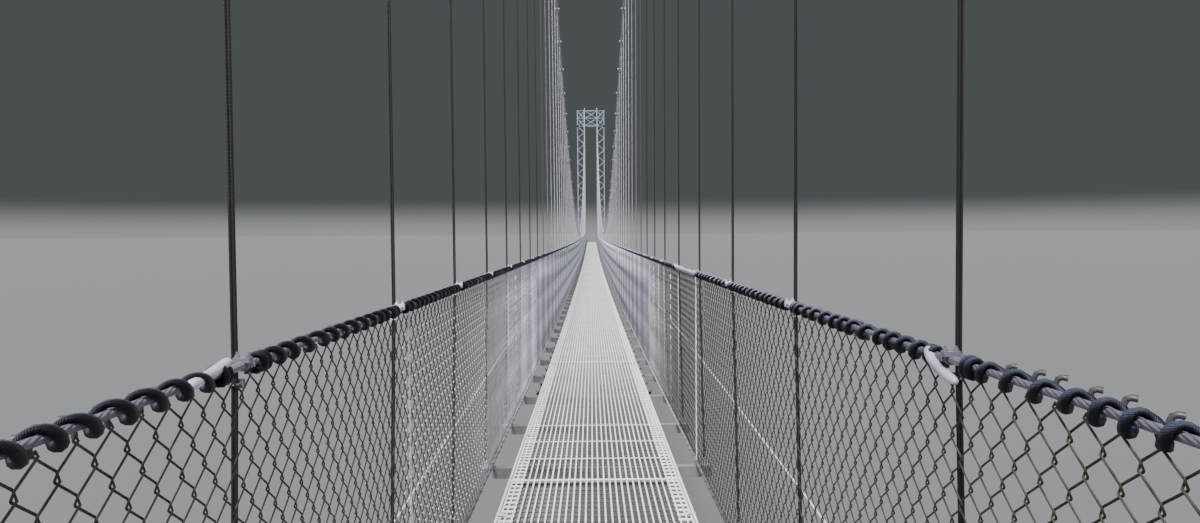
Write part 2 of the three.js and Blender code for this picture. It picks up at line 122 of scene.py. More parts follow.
@dataclass(frozen=True)
class Lines:
    """Heights and stations that every sub-assembly hangs from."""

    half_span: float = 50000.0
    bay: float = 1250.0
    bays: int = 80
    run: float = 6250.0
    deck_at_tower: float = 2400.0
    deck_at_midspan: float = 1900.0
    hand_at_tower: float = 3370.0
    hand_at_midspan: float = 3150.0
    cable_at_midspan: float = 3500.0
    cable_peak: float = 16180.0
    saddle_reach: float = 390.0
    saddle_parts: int = 10
    backstay_run: float = 18000.0
    backstay_foot: float = 840.0
    cable_x: float = 620.0
    rope_x: float = 575.0
    tower_top: float = 15800.0
    joint: float = 3.0

    def sagging(self, y: np.ndarray, at_tower: float, at_midspan: float) -> np.ndarray:
        """A parabola in y between the towers, cut into straight runs, and level past them.

        Args:
            y: places along the bridge.
            at_tower: the height at the towers.
            at_midspan: the height at midspan.

        Returns:
            The height at each place.
        """
        knots = np.arange(-self.half_span, self.half_span + 1, self.run)
        heights = at_midspan + (at_tower - at_midspan) * (knots / self.half_span) ** 2
        return np.interp(y, knots, heights)

    def deck(self, y: np.ndarray) -> np.ndarray:
        """The height of the deck's walking surface at y."""
        return self.sagging(y, self.deck_at_tower, self.deck_at_midspan)

    def hand(self, y: np.ndarray) -> np.ndarray:
        """The height of the hand rope's middle at y."""
        return self.sagging(y, self.hand_at_tower, self.hand_at_midspan)

    def cable(self, y: np.ndarray) -> np.ndarray:
        """The height of the main cable at y: midspan height plus a curvature times y squared.

        Args:
            y: places along the bridge.

        Returns:
            The height at each place.
        """
        touch = self.half_span - self.saddle_reach
        curvature = (self.cable_peak - self.cable_at_midspan) / (touch * (2 * self.half_span - touch))
        return self.cable_at_midspan + curvature * y * y

    def deck_line(self, x: Any, y: np.ndarray, drop: float = 0.0) -> np.ndarray:
        """Points along the deck at x, drop below its walking surface."""
        return track(x, y, self.deck(y) - drop)

    def hand_line(self, y: np.ndarray) -> np.ndarray:
        """The middle of the right hand rope at y."""
        return track(self.rope_x, y, self.hand(y))

    def cable_line(self, y: np.ndarray) -> np.ndarray:
        """The middle of the right main cable at y."""
        return track(self.cable_x, y, self.cable(y))

    def saddle_bend(self) -> np.ndarray:
        """The cable over the far right saddle: a quadratic curve from the span to the backstay.

        Returns:
            Points (saddle_parts + 1, 3).
        """
        slope = (self.cable_peak - self.backstay_foot) / self.backstay_run
        reach = self.saddle_reach * np.array([-1.0, 0.0, 1.0])
        first = self.cable(self.half_span - self.saddle_reach)
        heights = np.array([first, self.cable_peak, self.cable_peak - slope * self.saddle_reach])
        points = track(self.cable_x, self.half_span + reach, heights)
        return curve(points, np.linspace(0, 1, self.saddle_parts + 1))

    def start(self, bay: Any) -> Any:
        """The place along the bridge where a bay starts."""
        return bay * self.bay - self.half_span

    def hangers(self) -> np.ndarray:
        """The places along the bridge where a pair of hangers stands."""
        return self.start(np.arange(1, self.bays))

    def portion(self, index: int, count: int, reach: float) -> tuple[float, float]:
        """The two ends of one of several runs, with a narrow joint between neighbours.

        Args:
            index: the run's number from the near end, from 0.
            count: the number of runs; they meet in the middle of a bay.
            reach: how far the first and the last run go from midspan.

        Returns:
            Where the run starts and where it ends.
        """
        bays = self.bays // count
        start = self.start(bays * index + 0.5) + self.joint / 2
        end = self.start(bays * (index + 1) + 0.5) - self.joint / 2
        return (-reach if index == 0 else start), (reach if index == count - 1 else end)

    def stations(self, start: float, end: float) -> np.ndarray:
        """Two places and every bend of the deck between them, in order.

        Args:
            start: the first place.
            end: the last place.

        Returns:
            The places.
        """
        knots = np.arange(-self.half_span, self.half_span + 1, self.run)
        knots = knots[(knots > start + 1) & (knots < end - 1)]
        return np.concatenate([[start], knots, [end]])


LINES = Lines()


# Shapes as whole arrays


def ring(radius: float, sides: int) -> np.ndarray:
    """A ring of points: radius times the cosine and the sine of each turn (sides, 2)."""
    turn = 2 * np.pi * (np.arange(sides) + 0.5) / sides
    return radius * np.stack([np.cos(turn), np.sin(turn)], -1)


def bar(width: float, depth: float, top: float | None = None) -> np.ndarray:
    """A rectangle width wide; its middle is at the origin, or its upper edge at top.

    Args:
        width: the size across.
        depth: the size up and down.
        top: the height of the upper edge, or None.

    Returns:
        Points (4, 2).
    """
    half = width / 2
    high = depth / 2 if top is None else top
    return np.array([[-half, high - depth], [half, high - depth], [half, high], [-half, high]])


def angle(size: float, thick: float, turn: tuple[int, int] = (1, 1)) -> np.ndarray:
    """The section of a steel angle: two legs that meet at the origin.

    Args:
        size: the length of each leg.
        thick: the thickness of each leg.
        turn: the signs that send the legs left or right and up or down.

    Returns:
        Points (6, 2).
    """
    legs = np.array([[0, 0], [size, 0], [size, thick], [thick, thick], [thick, size], [0, size]], float)
    return legs * np.array(turn)


@dataclass
class Form:
    """Closed surfaces as arrays.

    points holds every point, corners the faces' point numbers one after another, counts the
    number of corners of each face, and lay a pair for each corner: the share of the way round
    a section, and the length along its path.
    """

    points: np.ndarray
    corners: np.ndarray
    counts: np.ndarray
    lay: np.ndarray

    @classmethod
    def lofted(cls, grid: np.ndarray, along: np.ndarray, loop: bool = False) -> "Form":
        """Skins over grids of points whose columns close round a section.

        The faces are quads between neighbouring rows and columns, and a face at each end. A
        grid whose skin would enclose a negative volume has its columns reversed, so every
        face points outwards.

        Args:
            grid: points (bodies, rows, columns, 3).
            along: the length along the path (bodies, rows).
            loop: whether the last row joins the first, without end faces.

        Returns:
            The skins.
        """
        bodies, rows, columns, _ = grid.shape
        ahead = np.roll(grid, -1, 1) if loop else grid[:, 1:]
        here = grid if loop else grid[:, :-1]
        origin = grid.mean((1, 2), keepdims=True)
        a, b = here - origin, ahead - origin
        c, d = np.roll(b, -1, 2), np.roll(a, -1, 2)
        inside = (np.cross(a, b) * c).sum((1, 2, 3)) + (np.cross(a, c) * d).sum((1, 2, 3))
        if not loop:
            for row, sign in ((0, 1), (-1, -1)):
                edge = grid[:, row] - origin[:, 0]
                middle = edge.mean(1, keepdims=True)
                inside += sign * (np.cross(edge, np.roll(edge, -1, 1)) * middle).sum((1, 2))
        wrong = inside < 0
        grid = np.where(wrong[:, None, None, None], grid[:, :, ::-1], grid)
        number = np.arange(bodies * rows * columns).reshape(bodies, rows, columns)
        after = np.roll(number, -1, 1) if loop else number[:, 1:]
        first = number if loop else number[:, :-1]
        quads = np.stack([first, after, np.roll(after, -1, 2), np.roll(first, -1, 2)], -1)
        share = np.broadcast_to(np.arange(columns) / columns, quads.shape[:3])
        reach = np.concatenate([along, along[:, -1:] + along[:, 1:2]], 1) if loop else along
        near = np.broadcast_to(reach[:, :-1, None], quads.shape[:3])
        far = np.broadcast_to(reach[:, 1:, None], quads.shape[:3])
        following = share + 1 / columns
        pairs = ((share, near), (share, far), (following, far), (following, near))
        lay = np.stack([np.stack(pair, -1) for pair in pairs], -2)
        corners, counts, lays = [quads.ravel()], [np.full(quads[..., 0].size, 4)], [lay.reshape(-1, 2)]
        if not loop:
            caps = np.concatenate([number[:, 0], number[:, -1, ::-1]])
            corners.append(caps.ravel())
            counts.append(np.full(2 * bodies, columns))
            lays.append(np.zeros((caps.size, 2)))
        return cls(grid.reshape(-1, 3), np.concatenate(corners), np.concatenate(counts), np.concatenate(lays))

    @classmethod
    def swept(
        cls,
        path: np.ndarray,
        section: np.ndarray,
        upright: np.ndarray = UP,
        widths: np.ndarray | float = 1.0,
        loop: bool = False,
    ) -> "Form":
        """A section carried along paths: path point, plus section x to the side, plus y upwards.

        The side is the path's direction crossed with upright, and up is the side crossed with
        the direction.

        Args:
            path: points (rows, 3) or (bodies, rows, 3).
            section: points (columns, 2).
            upright: a vector, or one for each body or row, that isn't along the path.
            widths: what the section is multiplied by, for all or for each row.
            loop: whether each path closes on itself.

        Returns:
            The swept bodies.
        """
        paths = path if path.ndim == 3 else path[None]
        if loop:
            heading = unit(np.roll(paths, -1, 1) - np.roll(paths, 1, 1))
        else:
            heading = unit(np.gradient(paths, axis=1))
        upright = np.broadcast_to(upright if np.ndim(upright) != 2 else upright[:, None], paths.shape)
        side = unit(np.cross(heading, upright))
        above = np.cross(side, heading)
        scale = np.broadcast_to(np.asarray(widths, float), paths.shape[:2])[:, :, None, None]
        grid = paths[:, :, None] + scale * (
            side[:, :, None] * section[:, :1] + above[:, :, None] * section[:, 1:]
        )
        steps = np.linalg.norm(np.diff(paths, axis=1), axis=-1)
        along = np.concatenate([np.zeros((len(paths), 1)), np.cumsum(steps, 1)], 1)
        return cls.lofted(grid, along, loop)

    @classmethod
    def bars(cls, starts: Any, ends: Any, section: np.ndarray, upright: np.ndarray = UP) -> "Form":
        """Straight bars of one section between pairs of points (bars, 3)."""
        starts, ends = np.broadcast_arrays(np.atleast_2d(starts), np.atleast_2d(ends))
        return cls.swept(np.stack([starts, ends], 1), section, upright)

    @classmethod
    def turned(cls, start: Any, heading: Any, profile: Any, sides: int, upright: np.ndarray = UP) -> "Form":
        """Round parts along straight lines.

        Args:
            start: where each part starts, (3) or (bodies, 3).
            heading: what a distance of 1 along each part is, of the same shape.
            profile: pairs of a distance and a radius.
            sides: the number of sides.
            upright: a vector that isn't along the parts.

        Returns:
            The parts.
        """
        reach, radius = np.array(profile, float).T
        path = np.asarray(start)[..., None, :] + np.asarray(heading)[..., None, :] * reach[:, None]
        return cls.swept(path, ring(1.0, sides), upright, radius)

    @classmethod
    def plates(cls, outlines: np.ndarray, thickness: np.ndarray) -> "Form":
        """Plates whose face is an outline (plates, columns, 3), thickened by a vector.

        Args:
            outlines: points (plates, columns, 3), or one plate's.
            thickness: a vector.

        Returns:
            The plates.
        """
        outlines = outlines if outlines.ndim == 3 else outlines[None]
        grid = np.stack([outlines, outlines + thickness], 1)
        depth = float(np.linalg.norm(thickness))
        return cls.lofted(grid, np.tile([0.0, depth], (len(outlines), 1)))

    @classmethod
    def blocks(cls, low: Any, high: Any) -> "Form":
        """Boxes between low and high corners (boxes, 3).

        Args:
            low: each box's lowest x, y and z.
            high: each box's highest x, y and z.

        Returns:
            The boxes.
        """
        low, high = np.atleast_2d(low).astype(float), np.atleast_2d(high).astype(float)
        (left, front, foot), (right, back, head) = low.T, high.T
        around = ((left, front), (right, front), (right, back), (left, back))
        outline = np.stack([track(x, y, foot) for x, y in around], 1)
        rise = head - foot
        grid = np.stack([outline, outline + rise[:, None, None] * UP], 1)
        return cls.lofted(grid, np.stack([np.zeros_like(rise), rise], 1))

    @classmethod
    def joined(cls, forms: Sequence["Form"]) -> "Form":
        """Several forms as one.

        Args:
            forms: what is joined.

        Returns:
            One form.
        """
        starts = np.cumsum([0] + [len(form.points) for form in forms[:-1]])
        return cls(
            np.concatenate([form.points for form in forms]),
            np.concatenate([form.corners + start for form, start in zip(forms, starts)]),
            np.concatenate([form.counts for form in forms]),
            np.concatenate([form.lay for form in forms]),
        )

    def copied(self, places: Any, turns: np.ndarray = UNTURNED) -> "Form":
        """The form at each place: each copy's points times its turn, plus its place.

        Args:
            places: a point, or points (copies, 3).
            turns: matrices whose rows are the copy's x, y and z directions, one for all or
                one for each copy.

        Returns:
            The copies as one form.
        """
        places = np.atleast_2d(places)
        turns = np.broadcast_to(turns, (len(places), 3, 3))
        points = np.einsum("ni,kij->knj", self.points, turns) + places[:, None]
        starts = np.arange(len(places)) * len(self.points)
        return Form(
            points.reshape(-1, 3),
            (self.corners + starts[:, None]).ravel(),
            np.tile(self.counts, len(places)),
            np.tile(self.lay, (len(places), 1)),
        )

    def mirrored(self, x: int, y: int = 1) -> "Form":
        """The form with x and y multiplied by 1 or -1, its faces turned back outwards.

        Args:
            x: 1, or -1 for the other side.
            y: 1, or -1 for the other end.

        Returns:
            The mirrored form.
        """
        points = self.points * np.array([x, y, 1.0])
        if x * y > 0:
            return Form(points, self.corners, self.counts, self.lay)
        return Form(points, self.corners[::-1], self.counts[::-1], self.lay[::-1])

    @property
    def triangles(self) -> int:
        """The number of triangles that the faces make."""
        return int((self.counts - 2).sum())

    def piece(
        self, name: str, finish: "Finish", replaces: Sequence[str] = (), crease: float = 40.0
    ) -> None:
        """Puts the form into the scene as a piece of the bridge.

        Args:
            name: the piece's name.
            finish: what it is made of.
            replaces: the plain solids that it stands for.
            crease: the angle between faces, in degrees, past which an edge stays sharp.
        """
        mesh = bpy.data.meshes.new(name)
        mesh.vertices.add(len(self.points))
        mesh.vertices.foreach_set("co", (self.points * MM).astype(np.float32).ravel())
        mesh.loops.add(len(self.corners))
        mesh.loops.foreach_set("vertex_index", self.corners.astype(np.int32))
        mesh.polygons.add(len(self.counts))
        starts = np.concatenate([[0], np.cumsum(self.counts)[:-1]])
        mesh.polygons.foreach_set("loop_start", starts.astype(np.int32))
        lay = mesh.uv_layers.new(name="lay")
        lay.data.foreach_set("uv", self.lay.astype(np.float32).ravel())
        mesh.update(calc_edges=True)
        mesh.polygons.foreach_set("use_smooth", np.ones(len(self.counts), bool))
        mesh.set_sharp_from_angle(angle=math.radians(crease))
        mesh.materials.append(finish.material())
        piece = bpy.data.objects.new(name, mesh)
        bpy.context.scene.collection.objects.link(piece)
        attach(piece, "root")
        if replaces:
            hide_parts(*replaces)
        log.info("%s: %d triangles", name, self.triangles)

    def beside(
        self,
        name: str,
        finish: "Finish",
        replaces: str = "",
        crease: float = 40.0,
        sides: Sequence[Side] = tuple(Side),
    ) -> None:
        """Puts the form into the scene on its sides of the bridge.

        Args:
            name: the pieces' name after their side.
            finish: what they are made of.
            replaces: the name, after its side, of the plain solid that each stands for, if any.
            crease: the angle between faces, in degrees, past which an edge stays sharp.
            sides: the sides that get a piece.
        """
        for side in sides:
            solids = [f"{side.label}_{replaces}"] if replaces else []
            self.mirrored(side.value).piece(f"{side.label}_{name}", finish, solids, crease)


# Shader maths


class Value:
    """A socket of a node tree; the operators on it add Math nodes."""

    def __init__(self, shader: "Shader", socket: bpy.types.NodeSocket) -> None:
        """Keeps the shader and its socket."""
        self.shader = shader
        self.socket = socket

    def math(self, operation: str, *values: Any) -> "Value":
        """One Math node on values and sockets, in their order."""
        inputs = dict(enumerate(values))
        return self.shader.node("ShaderNodeMath", {"operation": operation}, inputs)

    def __add__(self, other: Any) -> "Value":
        """This plus other."""
        return self.math("ADD", self, other)

    __radd__ = __add__

    def __sub__(self, other: Any) -> "Value":
        """This minus other."""
        return self.math("SUBTRACT", self, other)

    def __rsub__(self, other: Any) -> "Value":
        """The other minus this."""
        return self.math("SUBTRACT", other, self)

    def __mul__(self, other: Any) -> "Value":
        """This times other."""
        return self.math("MULTIPLY", self, other)

    __rmul__ = __mul__

    def sine(self) -> "Value":
        """The sine of this."""
        return self.math("SINE", self)

    def size(self) -> "Value":
        """This without its sign."""
        return self.math("ABSOLUTE", self)

    def ramp(self, low: float, high: float) -> "Value":
        """0 below low, 1 above high, and smooth between."""
        inputs = {"Value": self, "From Min": low, "From Max": high}
        return self.shader.node("ShaderNodeMapRange", {"interpolation_type": "SMOOTHSTEP"}, inputs)


class Shader:
    """A material's node tree, and the few kinds of node that the finishes share."""

    def __init__(self, name: str) -> None:
        """Starts a material with its surface shader.

        Args:
            name: the material's name.
        """
        self.material = bpy.data.materials.new(name)
        self.material.use_nodes = True
        self.tree = self.material.node_tree
        self.surface = self.tree.nodes["Principled BSDF"]
        self._place = None

    def node(self, kind: str, settings: dict[str, Any], inputs: dict[Any, Any], output: Any = 0) -> Value:
        """Adds a node.

        Args:
            kind: the node's type.
            settings: its properties by name, set first.
            inputs: a value or a Value for each of its sockets.
            output: the socket that is handed back.

        Returns:
            The chosen output.
        """
        made = self.tree.nodes.new(kind)
        for key, value in settings.items():
            setattr(made, key, value)
        for key, value in inputs.items():
            self.feed(made.inputs[key], value)
        return Value(self, made.outputs[output])

    def feed(self, socket: bpy.types.NodeSocket, value: Any) -> None:
        """Links a Value to a socket, or sets the socket to a number or a colour.

        Args:
            socket: the socket.
            value: a Value, a number, a vector or a colour.
        """
        if isinstance(value, Value):
            self.tree.links.new(value.socket, socket)
        elif socket.type == "RGBA":
            socket.default_value = (*value[:3], 1.0)
        else:
            socket.default_value = value

    def coat(self, **values: Any) -> None:
        """Feeds the surface shader's sockets, whose names have underscores for spaces."""
        for key, value in values.items():
            self.feed(self.surface.inputs[key.replace("_", " ")], value)

    @property
    def place(self) -> Value:
        """The place in the object, in metres.

        Returns:
            A vector.
        """
        if self._place is None:
            self._place = self.node("ShaderNodeTexCoord", {}, {}, "Object")
        return self._place

    def axis(self, name: str) -> Value:
        """The place along X, Y or Z, in real millimetres."""
        return self.node("ShaderNodeSeparateXYZ", {}, {0: self.place}, name) * (1 / MM)

    def noise(self, size: float, detail: float = 2.0, stretch: Colour = (1, 1, 1)) -> Value:
        """Soft noise from 0 to 1 whose patches are size millimetres across.

        Args:
            size: the patches' size.
            detail: how many finer layers it has.
            stretch: what x, y and z are multiplied by.

        Returns:
            The noise.
        """
        place = self.node("ShaderNodeMapping", {}, {"Vector": self.place, "Scale": stretch})
        inputs = {"Vector": place, "Scale": 1 / (size * MM), "Detail": detail, "Roughness": 0.6}
        return self.node("ShaderNodeTexNoise", {}, inputs)

    def flakes(self, size: float) -> Value:
        """Crystals size millimetres across, each with its own number from 0 to 1.

        Args:
            size: the crystals' size.

        Returns:
            The crystals' numbers.
        """
        inputs = {"Vector": self.place, "Scale": 1 / (size * MM)}
        cells = self.node("ShaderNodeTexVoronoi", {}, inputs, "Color")
        return self.node("ShaderNodeSeparateColor", {}, {0: cells})

    def facing(self, direction: Colour) -> Value:
        """The cosine of the angle between a face's direction and this one."""
        normal = self.node("ShaderNodeNewGeometry", {}, {}, "Normal")
        return self.node("ShaderNodeVectorMath", {"operation": "DOT_PRODUCT"}, {0: normal, 1: direction}, 1)

    def blend(self, share: Any, first: Any, second: Any) -> Value:
        """A colour between two, by share."""
        return self.node("ShaderNodeMix", {"data_type": "RGBA"}, {"Factor": share, 6: first, 7: second}, 2)

    def bump(self, height: Value, depth: float) -> Value:
        """A normal from a height of 0 to 1 that stands for depth real millimetres."""
        return self.node("ShaderNodeBump", {}, {"Height": height, "Distance": depth * MM, "Strength": 1.0})

    def strands(self, count: float, pitch: float) -> Value:
        """Strands that wind round a rope.

        It is the size of the sine of pi times their count times the sum of the share round the
        rope and the length along it over the pitch.

        Args:
            count: how many strands there are.
            pitch: the length of one turn.

        Returns:
            0 in the grooves and 1 on the crowns.
        """
        lay = self.node("ShaderNodeUVMap", {"uv_map": "lay"}, {})
        round_it = self.node("ShaderNodeSeparateXYZ", {}, {0: lay}, 0)
        along_it = self.node("ShaderNodeSeparateXYZ", {}, {0: lay}, 1)
        return ((round_it * count + along_it * (count / pitch)) * math.pi).sine().size()


# Finishes


@dataclass(frozen=True)
class Finish:
    """A finish: its name, the record's slot that it belongs to, and its main colour."""

    name: str
    slot: str
    colour: Colour

    def dress(self, shader: Shader) -> None:
        """Builds the finish's nodes; each kind of finish has its own."""
        raise NotImplementedError

    def material(self) -> bpy.types.Material:
        """The finish's material, made once.

        Returns:
            The material.
        """
        found = bpy.data.materials.get(self.name)
        if found is None:
            shader = Shader(self.name)
            self.dress(shader)
            found = shader.material
        return found


@dataclass(frozen=True)
class Zinc(Finish):
    """Hot-dip galvanised steel: crystals of two greys, grime in patches and a little rust.

    Faces that don't look up are darkened towards the dirty colour by a given share: painted shade on the
    flanks, with the tops left lit.
    Where far is given, the first grey turns into it between two given places along Y: the near grey is
    painted shade and far is painted sunlight.
    """

    dull: Colour = (0.33, 0.34, 0.38)
    grime_and_shade: Colour = (0.16, 0.15, 0.12)
    rust: Colour = (0.20, 0.09, 0.04)
    crystal: float = 18.0
    grime_and_shade_share: float = 0.55
    metal: float = 0.55
    # painted shade: the share by which faces that don't look up are darkened
    painted_flank_shade: float = 0.0
    far: Colour | None = None
    # Places along Y where the near colour, painted shade, turns into far, painted sunlight.
    shaded_to_lit: tuple[float, float] = (-41500.0, -35000.0)

    def dress(self, shader: Shader) -> None:
        """Mixes the greys by crystal, shifts them from painted shade to painted sunlight along Y, then adds
        dirt by soft noise, painted shade on the flanks, and specks of rust.

        Args:
            shader: the material's node tree.
        """
        crystal = shader.flakes(self.crystal)
        grime_and_shade = shader.noise(160.0, 4.0).ramp(0.50, 0.78) * self.grime_and_shade_share
        # Painted shade: faces that don't look up are darkened as if their flanks lay in shade.
        if self.painted_flank_shade:
            side = (1 - shader.facing((0.0, 0.0, 1.0)).ramp(0.4, 0.9)) * self.painted_flank_shade
            grime_and_shade = grime_and_shade + side * (1 - grime_and_shade)
        rust = shader.noise(45.0, 3.0).ramp(0.68, 0.80) * 0.7
        zinc = shader.blend(crystal * 0.7, self.colour, self.dull)
        # Painted light: the near grey stands for shade and far for sunlight.
        if self.far:
            zinc = shader.blend(shader.axis("Y").ramp(*self.shaded_to_lit), zinc, self.far)
        dirty = shader.blend(grime_and_shade, zinc, self.grime_and_shade)
        shader.coat(
            Base_Color=shader.blend(rust, dirty, self.rust),
            Metallic=self.metal * (1 - rust) * (1 - 0.6 * grime_and_shade),
            Roughness=0.38 + 0.14 * crystal + 0.3 * grime_and_shade,
            Normal=shader.bump(shader.noise(6.0, 2.0), 0.25),
        )


@dataclass(frozen=True)
class Strand(Finish):
    """Wire rope or cord: strands that wind round it, darker in their grooves.

    Its colour may change along the bridge between two given places, from colour, which is painted shade,
    to far, which is painted sunlight; where it is far it is also duller in upright bands that lie band
    millimetres apart, and lean times as far ahead on the right as the rope is off the centre line. Where a
    pair of sheen colours is given, the faces that look along sunward get a painted sheen of the first
    colour, further on of the second.
    """

    far: Colour = (0.30, 0.30, 0.31)
    groove: Colour = (0.02, 0.02, 0.02)
    count: float = 6.0
    pitch: float = 60.0
    depth: float = 1.6
    metal: float = 0.3
    rough: float = 0.45
    gloss: float = 0.5
    # Places along Y where the near colour, painted shade, turns into far, painted sunlight.
    shaded_to_lit: tuple[float, float] = (-40000.0, -12000.0)
    patch: float = 90.0
    band: float = 0.0
    band_colour: Colour = (0.26, 0.30, 0.42)
    lean: float = 0.0
    # Painted sheen colours, near and far, for faces that look along sunward.
    painted_sheen: tuple[Colour, Colour] | None = None
    sunward: Colour = (0.0, 0.35, 0.94)

    def dress(self, shader: Shader) -> None:
        """Mixes near and far colours along Y, painted shade into painted sunlight, adds a painted sheen where
        given, darkens the grooves and dulls patches.

        Args:
            shader: the material's node tree.
        """
        crown = shader.strands(self.count, self.pitch)
        # Painted light: 0 where the colour is painted shade, 1 where it is painted sunlight.
        along = (shader.axis("Y") - shader.axis("X") * self.lean).ramp(*self.shaded_to_lit)
        patch = shader.noise(self.patch, 3.0)
        base = shader.blend(along, self.colour, self.far)
        if self.band:
            wave = (shader.axis("Y") * (math.pi / self.band)).sine().size().ramp(0.35, 0.85)
            base = shader.blend(wave * along * 0.7, base, self.band_colour)
        # Painted sheen: faces that look along sunward are lightened towards the sheen colours.
        if self.painted_sheen:
            sheen_share = shader.facing(self.sunward).ramp(0.35, 0.95)
            base = shader.blend(sheen_share, base, shader.blend(along, *self.painted_sheen))
        worn = shader.blend(patch.ramp(0.45, 0.75) * 0.4, base, self.groove)
        shader.coat(
            Base_Color=shader.blend(crown.ramp(0.05, 0.5), self.groove, worn),
            Metallic=self.metal,
            Specular_IOR_Level=self.gloss,
            Roughness=self.rough + 0.2 * patch,
            Normal=shader.bump(crown, self.depth),
        )


@dataclass(frozen=True)
class Stone(Finish):
    """Cast concrete: two greys, board marks, pores, and dirt that runs down the faces."""

    dark: Colour = (0.12, 0.115, 0.095)
    moss: Colour = (0.055, 0.070, 0.030)
    board: float = 250.0

    def dress(self, shader: Shader) -> None:
        """Blends the greys by noise, darkens joints between boards, and adds streaks.

        Args:
            shader: the material's node tree.
        """
        cloud = shader.noise(420.0, 5.0).ramp(0.30, 0.70)
        streak = shader.noise(90.0, 3.0, (1.0, 1.0, 0.08)).ramp(0.45, 0.65)
        pores = shader.noise(14.0, 2.0).ramp(0.66, 0.72)
        joint = (shader.axis("Z") * (math.pi / self.board)).sine().size().ramp(0.0, 0.14)
        damp = (1 - (shader.axis("Z") * (1 / 900.0)).ramp(0.0, 1.0)) * cloud
        base = shader.blend(cloud, self.colour, self.dark)
        wet = shader.blend(streak * 0.45, base, self.dark)
        mossy = shader.blend(damp.ramp(0.2, 0.6) * 0.6, wet, self.moss)
        shader.coat(
            Base_Color=shader.blend(joint, self.dark, mossy),
            Roughness=0.8 + 0.15 * cloud,
            Normal=shader.bump(joint * 0.6 + cloud * 0.3 - pores * 0.5, 4.0),
        )


@dataclass(frozen=True)
class Paper(Finish):
    """The studio's plain floor."""

    def dress(self, shader: Shader) -> None:
        """One pale colour."""
        shader.coat(Base_Color=self.colour, Roughness=0.9)


STEEL = Zinc(
    "tower_zinc", "galvanised_steel", (0.33, 0.365, 0.43),
    dull=(0.23, 0.26, 0.315), grime_and_shade_share=0.4, metal=0.2,
)
FITTING = Zinc(
    "bright_fitting", "galvanised_steel", (0.60, 0.60, 0.66),
    grime_and_shade_share=0.45, crystal=9.0, metal=0.5,
)
# Grating: its flanks are darkened as painted shade, its tops left bright.
GRATE = Zinc(
    "grating_zinc", "steel_grating", (0.94, 0.92, 0.92),
    dull=(0.84, 0.82, 0.84), grime_and_shade=(0.30, 0.27, 0.21), crystal=26.0, grime_and_shade_share=0.22, metal=0.0,
    painted_flank_shade=0.85,
)
# Grating rods, seam plates and grooves: near-black near the near end as painted shade under the grating, pale
# further on as painted sunlight.
ROD = Zinc(
    "grating_rod", "steel_grating", (0.13, 0.12, 0.10),
    dull=(0.08, 0.075, 0.065), grime_and_shade=(0.05, 0.045, 0.035), crystal=26.0, metal=0.0,
    far=(0.56, 0.54, 0.54),
)
BEAM = Zinc(
    "cross_beam_steel", "steel_grating", (0.23, 0.22, 0.215),
    dull=(0.18, 0.17, 0.165), grime_and_shade=(0.09, 0.08, 0.065), crystal=30.0, metal=0.1,
)
# Near colour painted shade, far colour painted sunlight.
CABLE = Strand(
    "main_cable_rope", "wire_rope", (0.36, 0.34, 0.37),
    far=(0.62, 0.58, 0.66), groove=(0.14, 0.13, 0.14), pitch=230.0, depth=5.0, metal=0.1,
)
# Near black as painted shade, far pale as painted sunlight.
HANGER = Strand(
    "hanger_rope", "wire_rope", (0.012, 0.012, 0.010),
    far=(0.66, 0.64, 0.70), pitch=38.0, depth=0.9, metal=0.1, shaded_to_lit=(-36500.0, -29500.0),
)
# Near colour painted shade, far colour painted sunlight.
CORE = Strand(
    "hand_rope_core", "guy_wire", (0.155, 0.138, 0.178),
    far=(0.38, 0.355, 0.43), groove=(0.085, 0.075, 0.10), pitch=120.0, depth=1.0, metal=0.05,
    shaded_to_lit=(-44500.0, -40000.0),
)
# Cord: a painted sheen on faces towards the light, slate near and lavender far.
CORD = Strand(
    "wound_cord", "black_cord", (0.004, 0.004, 0.007),
    far=(0.005, 0.005, 0.009), groove=(0.003, 0.003, 0.006), count=9.0, pitch=26.0, depth=0.4,
    metal=0.0, rough=0.4, gloss=0.2, patch=60.0, painted_sheen=((0.058, 0.066, 0.108), (0.31, 0.30, 0.39)),
    shaded_to_lit=(-45000.0, -42500.0), sunward=(-0.50, 0.10, 0.86),
)
SLEEVE = Zinc(
    "pale_sleeve", "guy_wire", (0.62, 0.59, 0.68),
    dull=(0.46, 0.43, 0.52), grime_and_shade=(0.16, 0.13, 0.12), crystal=40.0, grime_and_shade_share=0.55, metal=0.15,
)
# Near dark brown as painted shade, far white-lavender as painted sunlight.
LINK = Strand(
    "chain_link_wire", "mesh_wire", (0.040, 0.034, 0.022),
    far=(0.94, 0.91, 0.98), groove=(0.05, 0.045, 0.035), count=1.0, pitch=400.0, depth=0.1,
    metal=0.15, rough=0.4, shaded_to_lit=(-42000.0, -36000.0), patch=140.0, band=1250.0, lean=2.6,
)
# Pale seam and lacing wire, and the painted highlights at the woven knots.
KNOT = Zinc(
    "bright_knot_zinc", "mesh_wire", (0.92, 0.92, 0.96),
    dull=(0.74, 0.75, 0.82), grime_and_shade=(0.30, 0.28, 0.26), crystal=20.0, grime_and_shade_share=0.3, metal=0.0,
)
HOOK = Zinc(
    "mesh_hook_zinc", "mesh_wire", (0.090, 0.076, 0.082),
    dull=(0.055, 0.047, 0.048), grime_and_shade=(0.04, 0.030, 0.022), crystal=12.0, metal=0.2,
)
# Near dark as painted shade, pale from the first hangers on as painted sunlight.
TIE = Zinc(
    "tie_steel", "galvanised_steel", (0.24, 0.225, 0.27),
    dull=(0.14, 0.135, 0.16), grime_and_shade=(0.06, 0.05, 0.04), crystal=9.0, metal=0.2,
    far=(0.74, 0.72, 0.80), shaded_to_lit=(-44800.0, -43900.0),
)
